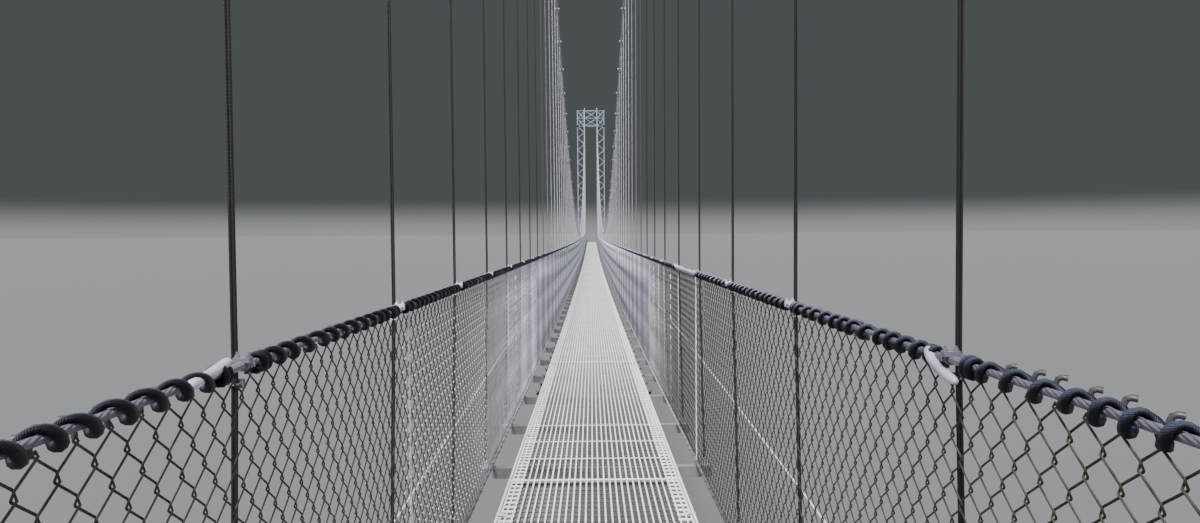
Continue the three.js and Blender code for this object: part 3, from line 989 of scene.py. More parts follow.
# Near colour painted shade, far colour painted sunlight.
FOOT = Strand(
    "side_rope_wire", "guy_wire", (0.055, 0.050, 0.042),
    far=(0.62, 0.60, 0.68), groove=(0.03, 0.028, 0.024), pitch=90.0, depth=1.5, metal=0.1,
    shaded_to_lit=(-43500.0, -37500.0),
)
GUY = Strand(
    "guy_rope", "guy_wire", (0.90, 0.90, 0.88),
    far=(0.90, 0.90, 0.90), groove=(0.36, 0.36, 0.34), pitch=110.0, depth=3.0, metal=0.05,
)
CONCRETE = Stone("cast_concrete", "concrete", (0.33, 0.32, 0.285))


# Small hardware


@dataclass(frozen=True)
class Hardware:
    """Bolts, clips and eyes that repeat all over the bridge, each of a few dozen faces."""

    thread_reach: float = 1.9
    thread_share: float = 0.5
    leg_by_rope: float = 2.2
    leg_by_rod: float = 3.0
    saddle_half: float = 1.4
    saddle_low: float = 1.6
    saddle_high: float = 0.7
    nut_radius: float = 1.9
    nut_height: float = 1.6

    def bolt(self, size: float, height: float) -> Form:
        """A hexagon head with a stub of thread, standing up along Z from the origin.

        Args:
            size: the head's width.
            height: the head's height.

        Returns:
            The bolt.
        """
        head, thread = size / 2, size / 2 * self.thread_share
        profile = [(0.0, head), (height - 0.01, head), (height, thread), (height * self.thread_reach, thread)]
        return Form.turned(np.zeros(3), UP, profile, 6, ALONG)

    def clip(self, rope: float, rod: float) -> Form:
        """A wire clip: a U of rod round ropes along Y, a saddle under them and two nuts.

        The U is half a circle over the ropes with straight legs down through the saddle.

        Args:
            rope: half the width that the U goes round.
            rod: the rod's radius.

        Returns:
            The clip, with its U upwards.
        """
        reach = rope + rod
        bend = helix(reach, np.linspace(0, np.pi, 6), 0.0)
        foot = -self.leg_by_rope * rope - self.leg_by_rod * rod
        path = np.concatenate([[[reach, 0, foot]], bend, [[-reach, 0, foot]]])
        half, low = self.saddle_half * rope, -self.saddle_low * rope - rod
        side, high = reach + 2 * rod, -self.saddle_high * rope
        saddle = Form.blocks([-side, -half, low], [side, half, high])
        profile = [(0.0, self.nut_radius * rod), (self.nut_height * rod, self.nut_radius * rod)]
        nuts = Form.turned(np.zeros(3), -UP, profile, 6, ALONG).copied([[reach, 0, low], [-reach, 0, low]])
        return Form.joined([Form.swept(path, ring(rod, 4), ALONG), saddle, nuts])

    def eye(self, radius: float, rod: float) -> Form:
        """A ring of rod in the X-Z plane round the origin."""
        turn = np.linspace(0, 2 * np.pi, 11)[:-1]
        return Form.swept(helix(radius, turn, 0.0), ring(rod, 4), ALONG, loop=True)


HARDWARE = Hardware()
ON_A_HANGER = np.array([ACROSS, UP, -ALONG])


def standing(faces: np.ndarray) -> np.ndarray:
    """Turns that send a form's Z to each of these directions (copies, 3).

    Args:
        faces: one direction, or (copies, 3).

    Returns:
        Turns (copies, 3, 3).
    """
    up = unit(np.atleast_2d(faces).astype(float))
    other = np.where(np.abs(up[:, 2:]) > 0.9, ACROSS, UP)
    side = unit(np.cross(other, up))
    return np.stack([side, np.cross(up, side), up], 1)


# Sub-assemblies


@dataclass(frozen=True)
class Deck:
    """The walking deck: bar grating in panels between edge angles, on hollow cross beams."""

    sections: int = 8
    half_width: float = 450.0
    reach: float = 50647.0
    margin: float = 20.0
    bearing_pitch: float = 30.0
    bearing_count: int = 28
    bearing_width: float = 7.4
    bearing_depth: float = 30.0
    rod_pitch: float = 76.0
    rod_size: float = 6.0
    rod_drop: float = 2.0
    rung_width: float = 32.0
    rung_length: float = 57.0
    rung_depth: float = 4.0
    panel: float = 5000.0
    panel_start: float = -41690.0
    seams: tuple[float, ...] = (500.0, 975.0, 1500.0)
    seam_width: float = 12.0
    seam_lift: float = 1.5
    bold_width: float = 26.0
    bold_lift: float = 3.0
    bold_half: float = 445.0
    lip_depth: float = 6.0
    bold_depth: float = 10.0
    plate_width: float = 8.0
    plate_drop: float = 1.0
    edge_width: float = 11.0
    edge_depth: float = 40.0
    groove_width: float = 5.0
    groove_depth: float = 12.0
    groove_drop: float = 5.0
    band_width: float = 9.0
    beam_top: float = 30.0
    beam_size: float = 60.0
    beam_wall: float = 5.0
    beam_half: float = 660.0
    clip_x: float = 425.0
    clip_width: float = 36.0
    clip_thick: float = 3.0
    clip_pitch: float = 1830.0
    clip_start: float = -42330.0
    clip_reach: float = 50247.0

    @property
    def inner(self) -> float:
        """Half the width between the grating's two edge bands."""
        return self.half_width - self.edge_width - self.groove_width - self.band_width

    def across(self, y: np.ndarray, section: np.ndarray, half: float) -> Form:
        """Bars across the deck at each y, from -half to half."""
        starts = LINES.deck_line(-half, y)
        return Form.bars(starts, starts * np.array([-1, 1, 1]), section)

    def grid(self, start: float, end: float, pitch: float, origin: float = 0.0) -> np.ndarray:
        """Places between two ends that lie whole pitches from an origin."""
        count = np.arange(math.ceil((start - origin) / pitch), math.floor((end - origin) / pitch) + 1)
        return origin + count * pitch

    def seam_places(self, start: float, end: float) -> tuple[np.ndarray, np.ndarray]:
        """The thin seams between two ends, and the bold ones where two panels meet.

        Args:
            start: the first end.
            end: the last end.

        Returns:
            The thin seams' places and the bold ones'.
        """
        bold = self.grid(start - self.panel, end, self.panel, self.panel_start)
        thin = (bold[:, None] + np.array(self.seams)).ravel()
        return thin[(thin > start) & (thin < end)], bold[bold > start]

    def section(self, index: int) -> Form:
        """One section of the deck.

        Args:
            index: its number from the near end, from 0.

        Returns:
            Bearing bars, edge rungs, the lips of the seams, edge bands and edge bars.
        """
        start, end = LINES.portion(index, self.sections, self.reach)
        stations = LINES.stations(start, end)
        places = (np.arange(self.bearing_count) - (self.bearing_count - 1) / 2) * self.bearing_pitch
        bearings = np.stack([LINES.deck_line(x, stations) for x in places])
        rods = self.grid(start + self.margin, end - self.margin, self.rod_pitch)
        thin, bold = self.seam_places(start + self.margin, end - self.margin)
        forms = [
            Form.swept(bearings, bar(self.bearing_width, self.bearing_depth, 0.0)),
            self.across(thin, bar(self.seam_width, self.lip_depth, self.seam_lift), self.inner),
            self.across(bold, bar(self.bold_width, self.bold_depth, self.bold_lift), self.bold_half),
        ]
        edges = (
            (self.half_width - self.edge_width / 2, self.edge_width, self.edge_depth),
            (self.inner + self.band_width / 2, self.band_width, self.bearing_depth),
        )
        for side in (-1, 1):
            outer = LINES.deck_line(side * self.inner, rods, self.rod_drop)
            toe = outer - side * self.rung_length * ACROSS
            forms.append(Form.bars(outer, toe, bar(self.rung_width, self.rung_depth)))
            for x, width, depth in edges:
                forms.append(Form.swept(LINES.deck_line(side * x, stations), bar(width, depth, 0.0)))
        return Form.joined(forms)

    def rods(self) -> Form:
        """The cross rods under the bars' tops, the seams' upright plates, and the grooves, dark near as
        painted shade and pale further on as painted sunlight.

        Returns:
            All of them, from end to end.
        """
        ends = (self.margin - self.reach, self.reach - self.margin)
        thin, bold = self.seam_places(*ends)
        groove = self.half_width - self.edge_width - self.groove_width / 2
        stations = LINES.stations(-self.reach, self.reach)
        lines = np.stack([LINES.deck_line(x, stations) for x in (-groove, groove)])
        rods = self.grid(*ends, self.rod_pitch)
        return Form.joined([
            self.across(rods, bar(self.rod_size, self.rod_size, -self.rod_drop), self.inner),
            self.across(thin, bar(self.plate_width, self.bearing_depth / 2, -self.plate_drop), self.inner),
            self.across(bold, bar(self.plate_width, self.bearing_depth, -self.plate_drop), self.inner),
            Form.swept(lines, bar(self.groove_width, self.groove_depth, -self.groove_drop)),
        ])

    def beams(self) -> Form:
        """Hollow square cross beams: four flat walls each, open at their ends.

        Returns:
            A beam at each hanger.
        """
        size, wall, top = self.beam_size, self.beam_wall, -self.beam_top
        upright = bar(wall, size - 2 * wall, top - wall)
        walls = [bar(size, wall, top), bar(size, wall, top - size + wall)]
        walls += [upright + np.array([sign * (size - wall) / 2, 0]) for sign in (-1, 1)]
        return Form.joined([self.across(LINES.hangers(), flat, self.beam_half) for flat in walls])

    def clips(self) -> Form:
        """Saddle clips that hold the grating down at both edges, each a bridge with a bolt.

        Returns:
            The clips.
        """
        y = self.grid(-self.clip_reach, self.clip_reach, self.clip_pitch, self.clip_start)
        places = np.concatenate([LINES.deck_line(side * self.clip_x, y) for side in (-1, 1)])
        bridge = np.array([[-26, 0, 2], [-12, 0, 2], [-8, 0, 7], [8, 0, 7], [12, 0, 2], [26, 0, 2]], float)
        plate = Form.swept(bridge, bar(self.clip_width, self.clip_thick))
        return Form.joined([plate, HARDWARE.bolt(17.0, 7.0).copied([0, 0, 7.5])]).copied(places)

    def build(self) -> None:
        """Puts the deck's sections, rods, beams and clips into the scene."""
        for index in range(self.sections):
            self.section(index).piece(f"deck_grating_{index + 1}", GRATE, [f"deck_section_{index + 1}"])
        self.rods().piece("deck_cross_rods", ROD)
        self.beams().piece("deck_cross_beams", BEAM)
        self.clips().piece("deck_clips", TIE)


@dataclass(frozen=True)
class ChainLink:
    """The side mesh: chain link, woven where it is near and plain crossed wires further on.

    proud_to and laced_at hold a place for the left side and one for the right: how far the
    hooked ends stand above the hand rope, and where two strips are laced together.
    """

    panels: int = 4
    reach: float = 49610.0
    wire: float = 1.9
    far_wire: float = 2.5
    seam_wire: float = 1.52
    cell: float = 75.0
    half_steps: int = 28
    woven_to: float = -41600.0
    kinked_to: float = -37000.0
    loop_half: float = 0.0055
    loop_depth: float = 2.0
    kink_depth: float = 1.2
    seam_gap: float = 9.0
    seam_start: float = -40500.0
    foot_rise: float = 12.0
    head_drop: float = 10.0
    glints_from: float = -43900.0
    glint_half: float = 0.0045
    glint_radius: float = 2.6
    glint_depth: float = 3.0
    hooks: tuple[float, float] = (-49500.0, -38000.0)
    hook_radius: float = 4.3
    hook_drop: float = 12.0
    proud_to: tuple[float, float] = (-49500.0, -45150.0)
    laced_at: tuple[float, float] = (-43667.0, -41300.0)
    stitches: int = 45
    stitch_radius: float = 3.4
    stitch_depth: float = 4.0

    def surface(self, y: np.ndarray, share: Any, depth: Any = 0.0) -> np.ndarray:
        """The mesh's surface: at y, share of the way up from side rope to hand rope.

        Args:
            y: places along the bridge.
            share: 0 at the foot and 1 at the head.
            depth: the distance from the mesh's middle, outwards.

        Returns:
            Points, with one more axis than y.
        """
        foot = LINES.deck(y) + self.foot_rise
        head = LINES.hand(y) - self.head_drop
        return track(LINES.rope_x + depth, y, foot + (head - foot) * share)

    def uprights(self, y: np.ndarray, radius: float) -> Form:
        """Straight wires from foot to head at each y."""
        return Form.bars(self.surface(y, 0.0), self.surface(y, 1.0), ring(radius, 4), ACROSS)

    def woven(self, start: float, end: float, looped: bool) -> Form:
        """Upright wires that zigzag by a quarter cell and hook into their neighbours.

        Wire k stands at start + k times half a cell. At half step i it is a quarter cell to
        the right where i + k is even and to the left where it is odd. A looped wire has two
        points at each turn, one behind the other, so that it goes round its neighbour.

        Args:
            start: where the wires start.
            end: where they end.
            looped: whether the turns are looped.

        Returns:
            The wires.
        """
        number = np.arange(int((end - start) / (self.cell / 2)))[:, None]
        step = np.arange(self.half_steps + 1)[None]
        sign = np.where((number + step) % 2 == 0, 1.0, -1.0)
        y = start + (number + 0.5) * self.cell / 2 + sign * (self.cell / 4 + self.wire)
        share = np.broadcast_to(step / self.half_steps, y.shape)
        if looped:
            y, share, sign = (np.repeat(part, 2, 1) for part in (y, share, sign))
            shift = np.tile([-1.0, 1.0], self.half_steps + 1)
            share = np.clip(share + shift * self.loop_half, 0, 1)
            depth = sign * shift * self.loop_depth
        else:
            depth = np.where(step % 2 == 0, self.kink_depth, -self.kink_depth)
        return Form.swept(self.surface(np.clip(y, start, end), share, depth), ring(self.wire, 3), ACROSS)

    def crossed(self, start: float, end: float) -> Form:
        """Straight wires in two slanting layers, cut off at the panel's ends.

        A wire that leaves the foot at y reaches the head half_steps half cells further on.

        Args:
            start: where the wires start.
            end: where they end.

        Returns:
            The wires.
        """
        run = self.half_steps * self.cell / 2
        forms = []
        for lean in (1, -1):
            first = math.ceil((start - max(lean, 0) * run) / self.cell)
            last = math.floor((end - min(lean, 0) * run) / self.cell)
            foot = np.arange(first, last + 1) * self.cell
            bounds = np.stack([(start - foot) * lean / run, (end - foot) * lean / run], 1)
            low, high = (np.clip(bound, 0, 1) for bound in (bounds.min(1), bounds.max(1)))
            kept = high - low > 0.02
            foot, low, high = (part[kept][:, None] for part in (foot, low, high))
            share = low + (high - low) * np.linspace(0, 1, 4)
            path = self.surface(foot + lean * run * share, share, lean * self.far_wire)
            forms.append(Form.swept(path, ring(self.far_wire, 3), ACROSS))
        return Form.joined(forms)

    def glints(self) -> Form:
        """Painted highlights: pale spots where neighbouring woven wires hook into each other.

        They stand whole cells apart, and half a cell further on in every even row, which is
        where the zigzags of two neighbours meet.

        Returns:
            The spots, each a short thick wire.
        """
        row = np.arange(2, self.half_steps - 1)[:, None]
        column = np.arange(int((self.woven_to - self.glints_from) / self.cell) - 1)[None] + 1
        start = math.ceil((self.glints_from + self.reach) / self.cell) * self.cell - self.reach
        y = (start + (column + 0.5 * ((row + 1) % 2)) * self.cell).ravel()
        share = np.repeat(row.ravel() / self.half_steps, column.size)
        low = self.surface(y, share - self.glint_half, -self.glint_depth)
        high = self.surface(y, share + self.glint_half, -self.glint_depth)
        return Form.bars(low, high, ring(self.glint_radius, 4), ACROSS)

    def lacing(self, place: float) -> Form:
        """A pale wire that laces two strips of mesh: from side to side by a few millimetres.

        Args:
            place: where it is along the bridge.

        Returns:
            The wire.
        """
        count = self.stitches
        sway = np.random.default_rng(3).uniform(5.0, 11.0, count) * np.where(np.arange(count) % 2, 1, -1)
        path = self.surface(place + sway, np.linspace(0.0, 1.0, count), -self.stitch_depth)
        return Form.swept(path, ring(self.stitch_radius, 5), ACROSS)

    def hooked_ends(self, proud_to: float) -> Form:
        """The woven wires' ends: stubs outside the hand rope, above it as far as proud_to.

        Args:
            proud_to: how far along the ends stand above the rope.

        Returns:
            The stubs.
        """
        y = np.arange(*self.hooks, self.cell) + self.cell / 4
        shift = np.random.default_rng(7).normal(0, 1, (len(y), 2)) * np.array([9.0, 3.0])
        hook = np.array([[11, 0, -6], [12, 0, 9], [14, -1, 15], [19, -3, 17], [25, -5, 16]], float)
        height = LINES.hand(y) + shift[:, 1] - np.where(y < proud_to, 0.0, self.hook_drop)
        places = track(LINES.rope_x, y + shift[:, 0], height)
        return Form.swept(hook, ring(self.hook_radius, 6), ACROSS).copied(places)

    def panel(self, index: int) -> Form:
        """One panel on the right side: woven, kinked or crossed wires, and its end bars.

        Args:
            index: its number from the near end, from 0.

        Returns:
            The panel.
        """
        start, end = LINES.portion(index, self.panels, self.reach)
        forms = [self.uprights(np.array([start + 3, end - 3]), self.wire)]
        if index == 0:
            forms.append(self.woven(start, self.woven_to, True))
            forms.append(self.woven(self.woven_to, self.kinked_to, False))
            start = self.kinked_to
        forms.append(self.crossed(start, end))
        return Form.joined(forms)

    def seams(self) -> Form:
        """Two pale upright wires at each half bay, where the mesh's strips are joined."""
        tied = np.arange(self.seam_start + LINES.bay / 4, self.reach, LINES.bay / 2)
        return self.uprights(np.concatenate([tied - self.seam_gap, tied + self.seam_gap]), self.seam_wire)

    def build(self) -> None:
        """Puts both sides' panels, their hooked ends, their seams and lacing, and the left side's painted
        highlights at the knots into the scene.
        """
        for index in range(self.panels):
            self.panel(index).beside(f"chain_link_{index + 1}", LINK, f"mesh_panel_{index + 1}", 100)
        # On the left the glints are painted highlights at the knots.
        pale = {Side.LEFT: [self.seams(), self.glints()], Side.RIGHT: [self.seams()]}
        for side, proud_to, place in zip(Side, self.proud_to, self.laced_at):
            self.hooked_ends(proud_to).beside("mesh_hooks", HOOK, crease=80, sides=[side])
            lacing = Form.joined([*pale[side], self.lacing(place)])
            lacing.beside("mesh_seams", KNOT, crease=100, sides=[side])


@dataclass(frozen=True)
class CoilDetail:
    """How a cord is wound over some bays: steps in a turn, sides, turns in a bay, and its size."""

    first: int
    last: int
    steps: int
    sides: int
    turns: int
    size: float


@dataclass(frozen=True)
class HandRope:
    """The hand rope: a pale wire rope with black cord wound round it and the mesh's head.

    The right rope has one bay where it isn't wound: a lumpy pale sleeve lies on it there,
    and the cord runs straight on under it.
    """

    core: float = 6.0
    cord: float = 4.6
    cord_width: float = 1.65
    hurry: float = 0.8
    catch: float = 5.0
    slack: float = 0.10
    start_gap: float = 28.0
    end_gap: float = 95.0
    end_turns: int = 2
    end_pitch: float = 0.22
    seed: int = 20
    landing: float = 50500.0
    plinth: float = 52590.0
    plinth_height: float = 2530.0
    thimble_radius: float = 8.5
    thimble_bay: int = 4
    bare_bay: int = 7
    bare_radius: float = 12.0
    straight_radius: float = 7.36
    tie_reach: float = 606.0
    tie_radius: float = 6.6
    details: tuple[CoilDetail, ...] = (
        CoilDetail(0, 4, 14, 6, 18, 1.15),
        CoilDetail(4, 6, 12, 6, 16, 1.25),
        CoilDetail(6, 12, 12, 6, 12, 1.35),
        CoilDetail(12, 28, 8, 5, 12, 1.4),
        CoilDetail(28, 80, 6, 4, 13, 1.4),
    )

    def route(self) -> np.ndarray:
        """The rope's middle line, from plinth to plinth.

        Returns:
            Points (stations, 3).
        """
        over = LINES.hand_line(LINES.stations(-self.landing, self.landing))
        foot = np.array([[LINES.rope_x, self.plinth, self.plinth_height]])
        return np.concatenate([foot * np.array([1, -1, 1]), over, foot])

    def coil(self, detail: CoilDetail, side: Side) -> Form:
        """Cord wound in each bay between two hangers.

        The cord's middle is at a radius from the rope's middle that grows by catch towards
        the bottom, and it goes on by one pitch each turn. The pitches are uneven, and the
        turns at a bay's two ends lie close together. On the right the cord is steep above
        and towards the deck and hurries on behind the rope: a pitch grows by hurry times the
        sine of the spin and an eighth of a turn, over a whole turn.

        Args:
            detail: the bays, and how fine the winding is.
            side: the rope's side.

        Returns:
            One body for each bay.
        """
        draw = np.random.default_rng(self.seed + side.value + detail.first)
        bays = np.arange(detail.first, detail.last)
        pitches = draw.uniform(0.75, 1.25, (len(bays), detail.turns))
        pitches[:, : self.end_turns] = self.end_pitch
        pitches[:, -self.end_turns :] = self.end_pitch
        marks = np.concatenate([np.zeros((len(bays), 1)), np.cumsum(pitches, 1)], 1)
        marks = marks / marks[:, -1:] * (LINES.bay - self.start_gap - self.end_gap)
        turn = np.linspace(0, detail.turns, detail.turns * detail.steps + 1)
        whole = np.minimum(turn.astype(int), detail.turns - 1)
        spin = 2 * np.pi * turn + draw.uniform(0, 6.28, (len(bays), 1))
        hurry = self.hurry if side is Side.RIGHT else 0.0
        part = turn - whole + hurry * np.sin(spin + np.pi / 4) / (2 * np.pi)
        pitch = marks[:, whole + 1] - marks[:, whole]
        y = LINES.start(bays)[:, None] + self.start_gap + marks[:, whole] + pitch * part
        slack = draw.uniform(-self.slack, self.slack, detail.turns + 1)
        loose = 1 + np.interp(turn, np.arange(detail.turns + 1), slack)
        cord = self.cord * detail.size
        radius = (self.core + cord) * loose + self.catch * np.clip(-np.sin(spin), 0, 1) ** 2
        path = helix(radius, spin, y) + track(LINES.rope_x, 0.0, LINES.hand(y))
        wound = bays != (self.bare_bay if side is Side.RIGHT else -1)
        section = ring(cord, detail.sides) * np.array([self.cord_width, 1.0])
        return Form.swept(path[wound], section, helix(1.0, spin, 0.0)[wound])

    def straight_cord(self) -> Form:
        """The cord that runs on under the right rope where it isn't wound.

        Returns:
            The cord.
        """
        y = LINES.start(self.bare_bay) + np.linspace(10.0, LINES.bay - 85.0, 12)
        path = LINES.hand_line(y) - np.array([2.0, 0.0, self.bare_radius + 3.0])
        return Form.swept(path, ring(self.straight_radius, 6))

    def bare_sleeve(self) -> Form:
        """The lumpy pale sleeve on the right rope where it isn't wound.

        Returns:
            The sleeve.
        """
        y = LINES.start(self.bare_bay) + np.linspace(25.0, LINES.bay - 80.0, 12)
        lumps = np.random.default_rng(self.seed).uniform(0.75, 1.1, 12)
        return Form.swept(LINES.hand_line(y), ring(self.bare_radius, 8), UP, lumps)

    def thimble(self, side: Side) -> Form:
        """The pale bowed tube at a hanger: a quadratic curve with rounded ends.

        Its three points are given out, along and up from the rope's middle at the hanger.

        Args:
            side: the rope's side.

        Returns:
            The tube.
        """
        points = {
            Side.LEFT: [[-6, -246, 2], [1, -160, 4], [-4, -93, 17]],
            Side.RIGHT: [[-7, 55, 9], [-18, 31, -13], [-6, -65, -31]],
        }
        shares = np.array([0.0, 0.02, 0.08, 0.2, 0.35, 0.5, 0.65, 0.8, 0.92, 0.98, 1.0])
        widths = np.array([0.45, 0.75, 1.0, 1.0, 1.0, 1.0, 1.0, 1.0, 1.0, 0.75, 0.45])
        path = curve(np.array(points[side], float), shares)
        tube = Form.swept(path, ring(self.thimble_radius, 10), UP, widths)
        return tube.copied(LINES.hand_line(LINES.start(self.thimble_bay)))

    def ties(self) -> Form:
        """At each hanger: two plates bolted across rope and hanger, a sleeve and two clips.

        Returns:
            The fittings of every hanger.
        """
        low, high = LINES.rope_x - 8, self.tie_reach
        plates = Form.blocks([[low, -9, -6], [low, 4, -6]], [[high, -4, 6], [high, 9, 6]])
        bolts = HARDWARE.bolt(9.0, 4.0).copied([[low + 3, -9, 0], [high - 6, -9, 0]], standing(-ALONG))
        path = np.array([[0, -88, 0], [0, -86, 0], [0, -78, 1], [0, -24, 1], [0, -14, 0], [0, -11, 0]], float)
        widths = np.array([0.7, 0.95, 1.05, 1.05, 0.95, 0.7])
        sleeve = Form.swept(path + LINES.rope_x * ACROSS, ring(self.tie_radius, 8), UP, widths)
        clip = HARDWARE.clip(5.5, 2.2).copied([LINES.rope_x + 23, 0, -34.0], ON_A_HANGER)
        hold = HARDWARE.clip(6.5, 2.4).copied([LINES.rope_x, -26.0, 1.0], np.array([ACROSS, -ALONG, -UP]))
        y = LINES.hangers()
        return Form.joined([plates, bolts, sleeve, clip, hold]).copied(track(0.0, y, LINES.hand(y)))

    def build(self) -> None:
        """Puts both hand ropes into the scene: winding, thimbles, core and ties."""
        for side in Side:
            cords = [self.coil(detail, side) for detail in self.details]
            sleeves = [self.thimble(side)]
            if side is Side.RIGHT:
                cords.append(self.straight_cord())
                sleeves.append(self.bare_sleeve())
            Form.joined(cords).beside("hand_rope_winding", CORD, "hand_rope", 95, [side])
            Form.joined(sleeves).beside("hand_rope_thimble", SLEEVE, crease=60, sides=[side])
        Form.swept(self.route(), ring(self.core, 10)).beside("hand_rope_core", CORE)
        self.ties().beside("hand_rope_ties", TIE)


@dataclass(frozen=True)
class SideRope:
    """The wire that holds the mesh's foot, its fine ties, and black cord along the deck's edge."""

    radius: float = 7.0
    drop: float = 7.0
    reach: float = 50647.0
    tie: float = 1.8
    tie_pitch: float = 150.0
    tie_catch: float = 6.0
    cord: float = 5.0
    cord_x: float = 468.0
    cord_drop: float = 12.0
    cord_start: float = -38700.0
    cord_end: float = 50347.0
    knot_pitch: float = 500.0
    knot_radius: float = 9.0
    knot_length: float = 55.0
    knot_turns: int = 3

    def ties(self) -> Form:
        """A fine wire in one long coil round the side rope, which reaches up to the mesh.

        Returns:
            The wire.
        """
        turns = int(2 * self.reach / self.tie_pitch)
        turn = np.linspace(0, turns, turns * 5 + 1)
        y, spin = turn * self.tie_pitch - self.reach, 2 * np.pi * turn
        radius = self.radius + self.tie + self.tie_catch * np.clip(np.sin(spin), 0, 1)
        path = helix(radius, spin, y) + track(LINES.rope_x, 0.0, LINES.deck(y) - self.drop)
        return Form.swept(path, ring(self.tie, 3), helix(1.0, spin, 0.0)[None])

    def edge_cord(self) -> Form:
        """Black cord along the deck's edge, with some turns and a tail at each knot.

        Returns:
            The cord with its knots.
        """
        run = LINES.deck_line(self.cord_x, LINES.stations(self.cord_start, self.cord_end), self.cord_drop)
        turn = np.linspace(0, self.knot_turns, 6 * self.knot_turns + 1)
        spin = 2 * np.pi * turn
        knot = helix(self.knot_radius, spin, (turn / self.knot_turns - 0.5) * self.knot_length)
        tail = np.array([[6, 20, 6], [14, 34, 16], [17, 52, 12]], float)
        loops = Form.joined([
            Form.swept(knot, ring(self.cord, 4), helix(1.0, spin, 0.0)[None]),
            Form.swept(tail, ring(self.cord * 0.8, 4)),
        ])
        spots = np.arange(self.cord_start, self.cord_end, self.knot_pitch)
        places = LINES.deck_line(self.cord_x, spots, self.cord_drop)
        return Form.joined([Form.swept(run, ring(self.cord, 6)), loops.copied(places)])

    def build(self) -> None:
        """Puts both side ropes, their ties and the edge cords into the scene."""
        middle = LINES.deck_line(LINES.rope_x, LINES.stations(-self.reach, self.reach), self.drop)
        Form.swept(middle, ring(self.radius, 8)).beside("side_rope_wire", FOOT, "side_rope")
        self.ties().beside("side_rope_ties", HOOK, crease=100)
        self.edge_cord().beside("edge_cord", CORD, crease=95)


@dataclass(frozen=True)
class MainCable:
    """A main cable with its clamps, double hangers and their feet, and the backstay sockets.

    socket and band are outlines of round parts: pairs of a distance and a radius.
    """

    radius: float = 17.4
    clear: float = 18.0
    parts: int = 81
    strand: float = 2.9
    drawn_in: float = 22.0
    beam_top: float = 27.0
    hanger_rise: float = 40.0
    lug: float = 70.0
    socket: tuple[tuple[float, float], ...] = (
        (0.0, 45.0), (40.0, 45.0), (41.0, 33.0), (120.0, 33.0), (121.0, 45.0), (520.0, 26.0), (600.0, 19.0),
    )
    band: tuple[tuple[float, float], ...] = ((-45.0, 23.4), (-40.0, 26.0), (40.0, 26.0), (45.0, 23.4))

    def route(self) -> np.ndarray:
        """The cable's middle line from anchor to anchor.

        Returns:
            Points (stations, 3).
        """
        touch = LINES.half_span - LINES.saddle_reach
        y = np.linspace(-touch, touch, self.parts)
        foot = np.array([[LINES.cable_x, LINES.half_span + LINES.backstay_run, LINES.backstay_foot]])
        far = np.concatenate([LINES.saddle_bend()[1:], foot])
        return np.concatenate([far[::-1] * np.array([1, -1, 1]), LINES.cable_line(y), far])

    def hangers(self) -> Form:
        """Two strands side by side from foot to clamp, drawn in a little at the hand rope.

        Returns:
            Both strands of every hanger.
        """
        y = LINES.hangers()
        foot = LINES.deck_line(LINES.cable_x, y, self.beam_top - self.hanger_rise)
        tied = track(LINES.cable_x - self.drawn_in, y, LINES.hand(y))
        path = np.stack([foot, tied, LINES.cable_line(y) - self.clear * UP], 1)
        strands = np.concatenate([path - self.strand * ACROSS, path + self.strand * ACROSS])
        return Form.swept(strands, ring(self.strand, 6), ALONG)

    def clamps(self) -> Form:
        """A two-part band with four bolts round the cable at each hanger, and a lug under it.

        Returns:
            A clamp at each hanger.
        """
        y = LINES.hangers()
        ahead = unit(track(0.0, 1.0, (LINES.cable(y + 10) - LINES.cable(y - 10)) / 20))
        turns = np.stack([np.tile(ACROSS, (len(y), 1)), ahead, np.cross(ACROSS, ahead)], 1)
        flanges = Form.blocks([[-44, -35, -6], [18, -35, -6]], [[-18, 35, 6], [44, 35, 6]])
        bolts = HARDWARE.bolt(20, 9).copied([[x, along, 6] for x in (-34, 34) for along in (-18, 18)])
        lug = Form.blocks([-5, -16, -self.lug], [5, 16, -20])
        band = Form.turned(np.zeros(3), ALONG, self.band, 8)
        return Form.joined([band, flanges, bolts, lug]).copied(LINES.cable_line(y), turns)

    def feet(self) -> Form:
        """An eye on a plate on each cross beam's end, and two wire clips over it.

        Returns:
            A foot at each hanger.
        """
        eye = HARDWARE.eye(13.0, 4.0).copied([0, 0, 14.0])
        clips = HARDWARE.clip(6.0, 2.5).copied([[0, 0, 70.0], [0, 0, 130.0]], ON_A_HANGER)
        plate = Form.blocks([-24, -24, -4], [24, 24, 2])
        return Form.joined([eye, clips, plate]).copied(
            LINES.deck_line(LINES.cable_x, LINES.hangers(), self.beam_top)
        )

    def build(self) -> None:
        """Puts both main cables with all that hangs from them into the scene."""
        route = self.route()
        socket = Form.turned(route[-1], unit(route[-2] - route[-1]), self.socket, 12)
        Form.swept(route, ring(self.radius, 10)).beside("main_cable", CABLE, "main_cable_with_hangers")
        self.hangers().beside("hangers", HANGER, crease=70)
        Form.joined([self.clamps(), socket, socket.mirrored(1, -1)]).beside("cable_clamps", STEEL)
        self.feet().beside("hanger_feet", FITTING)


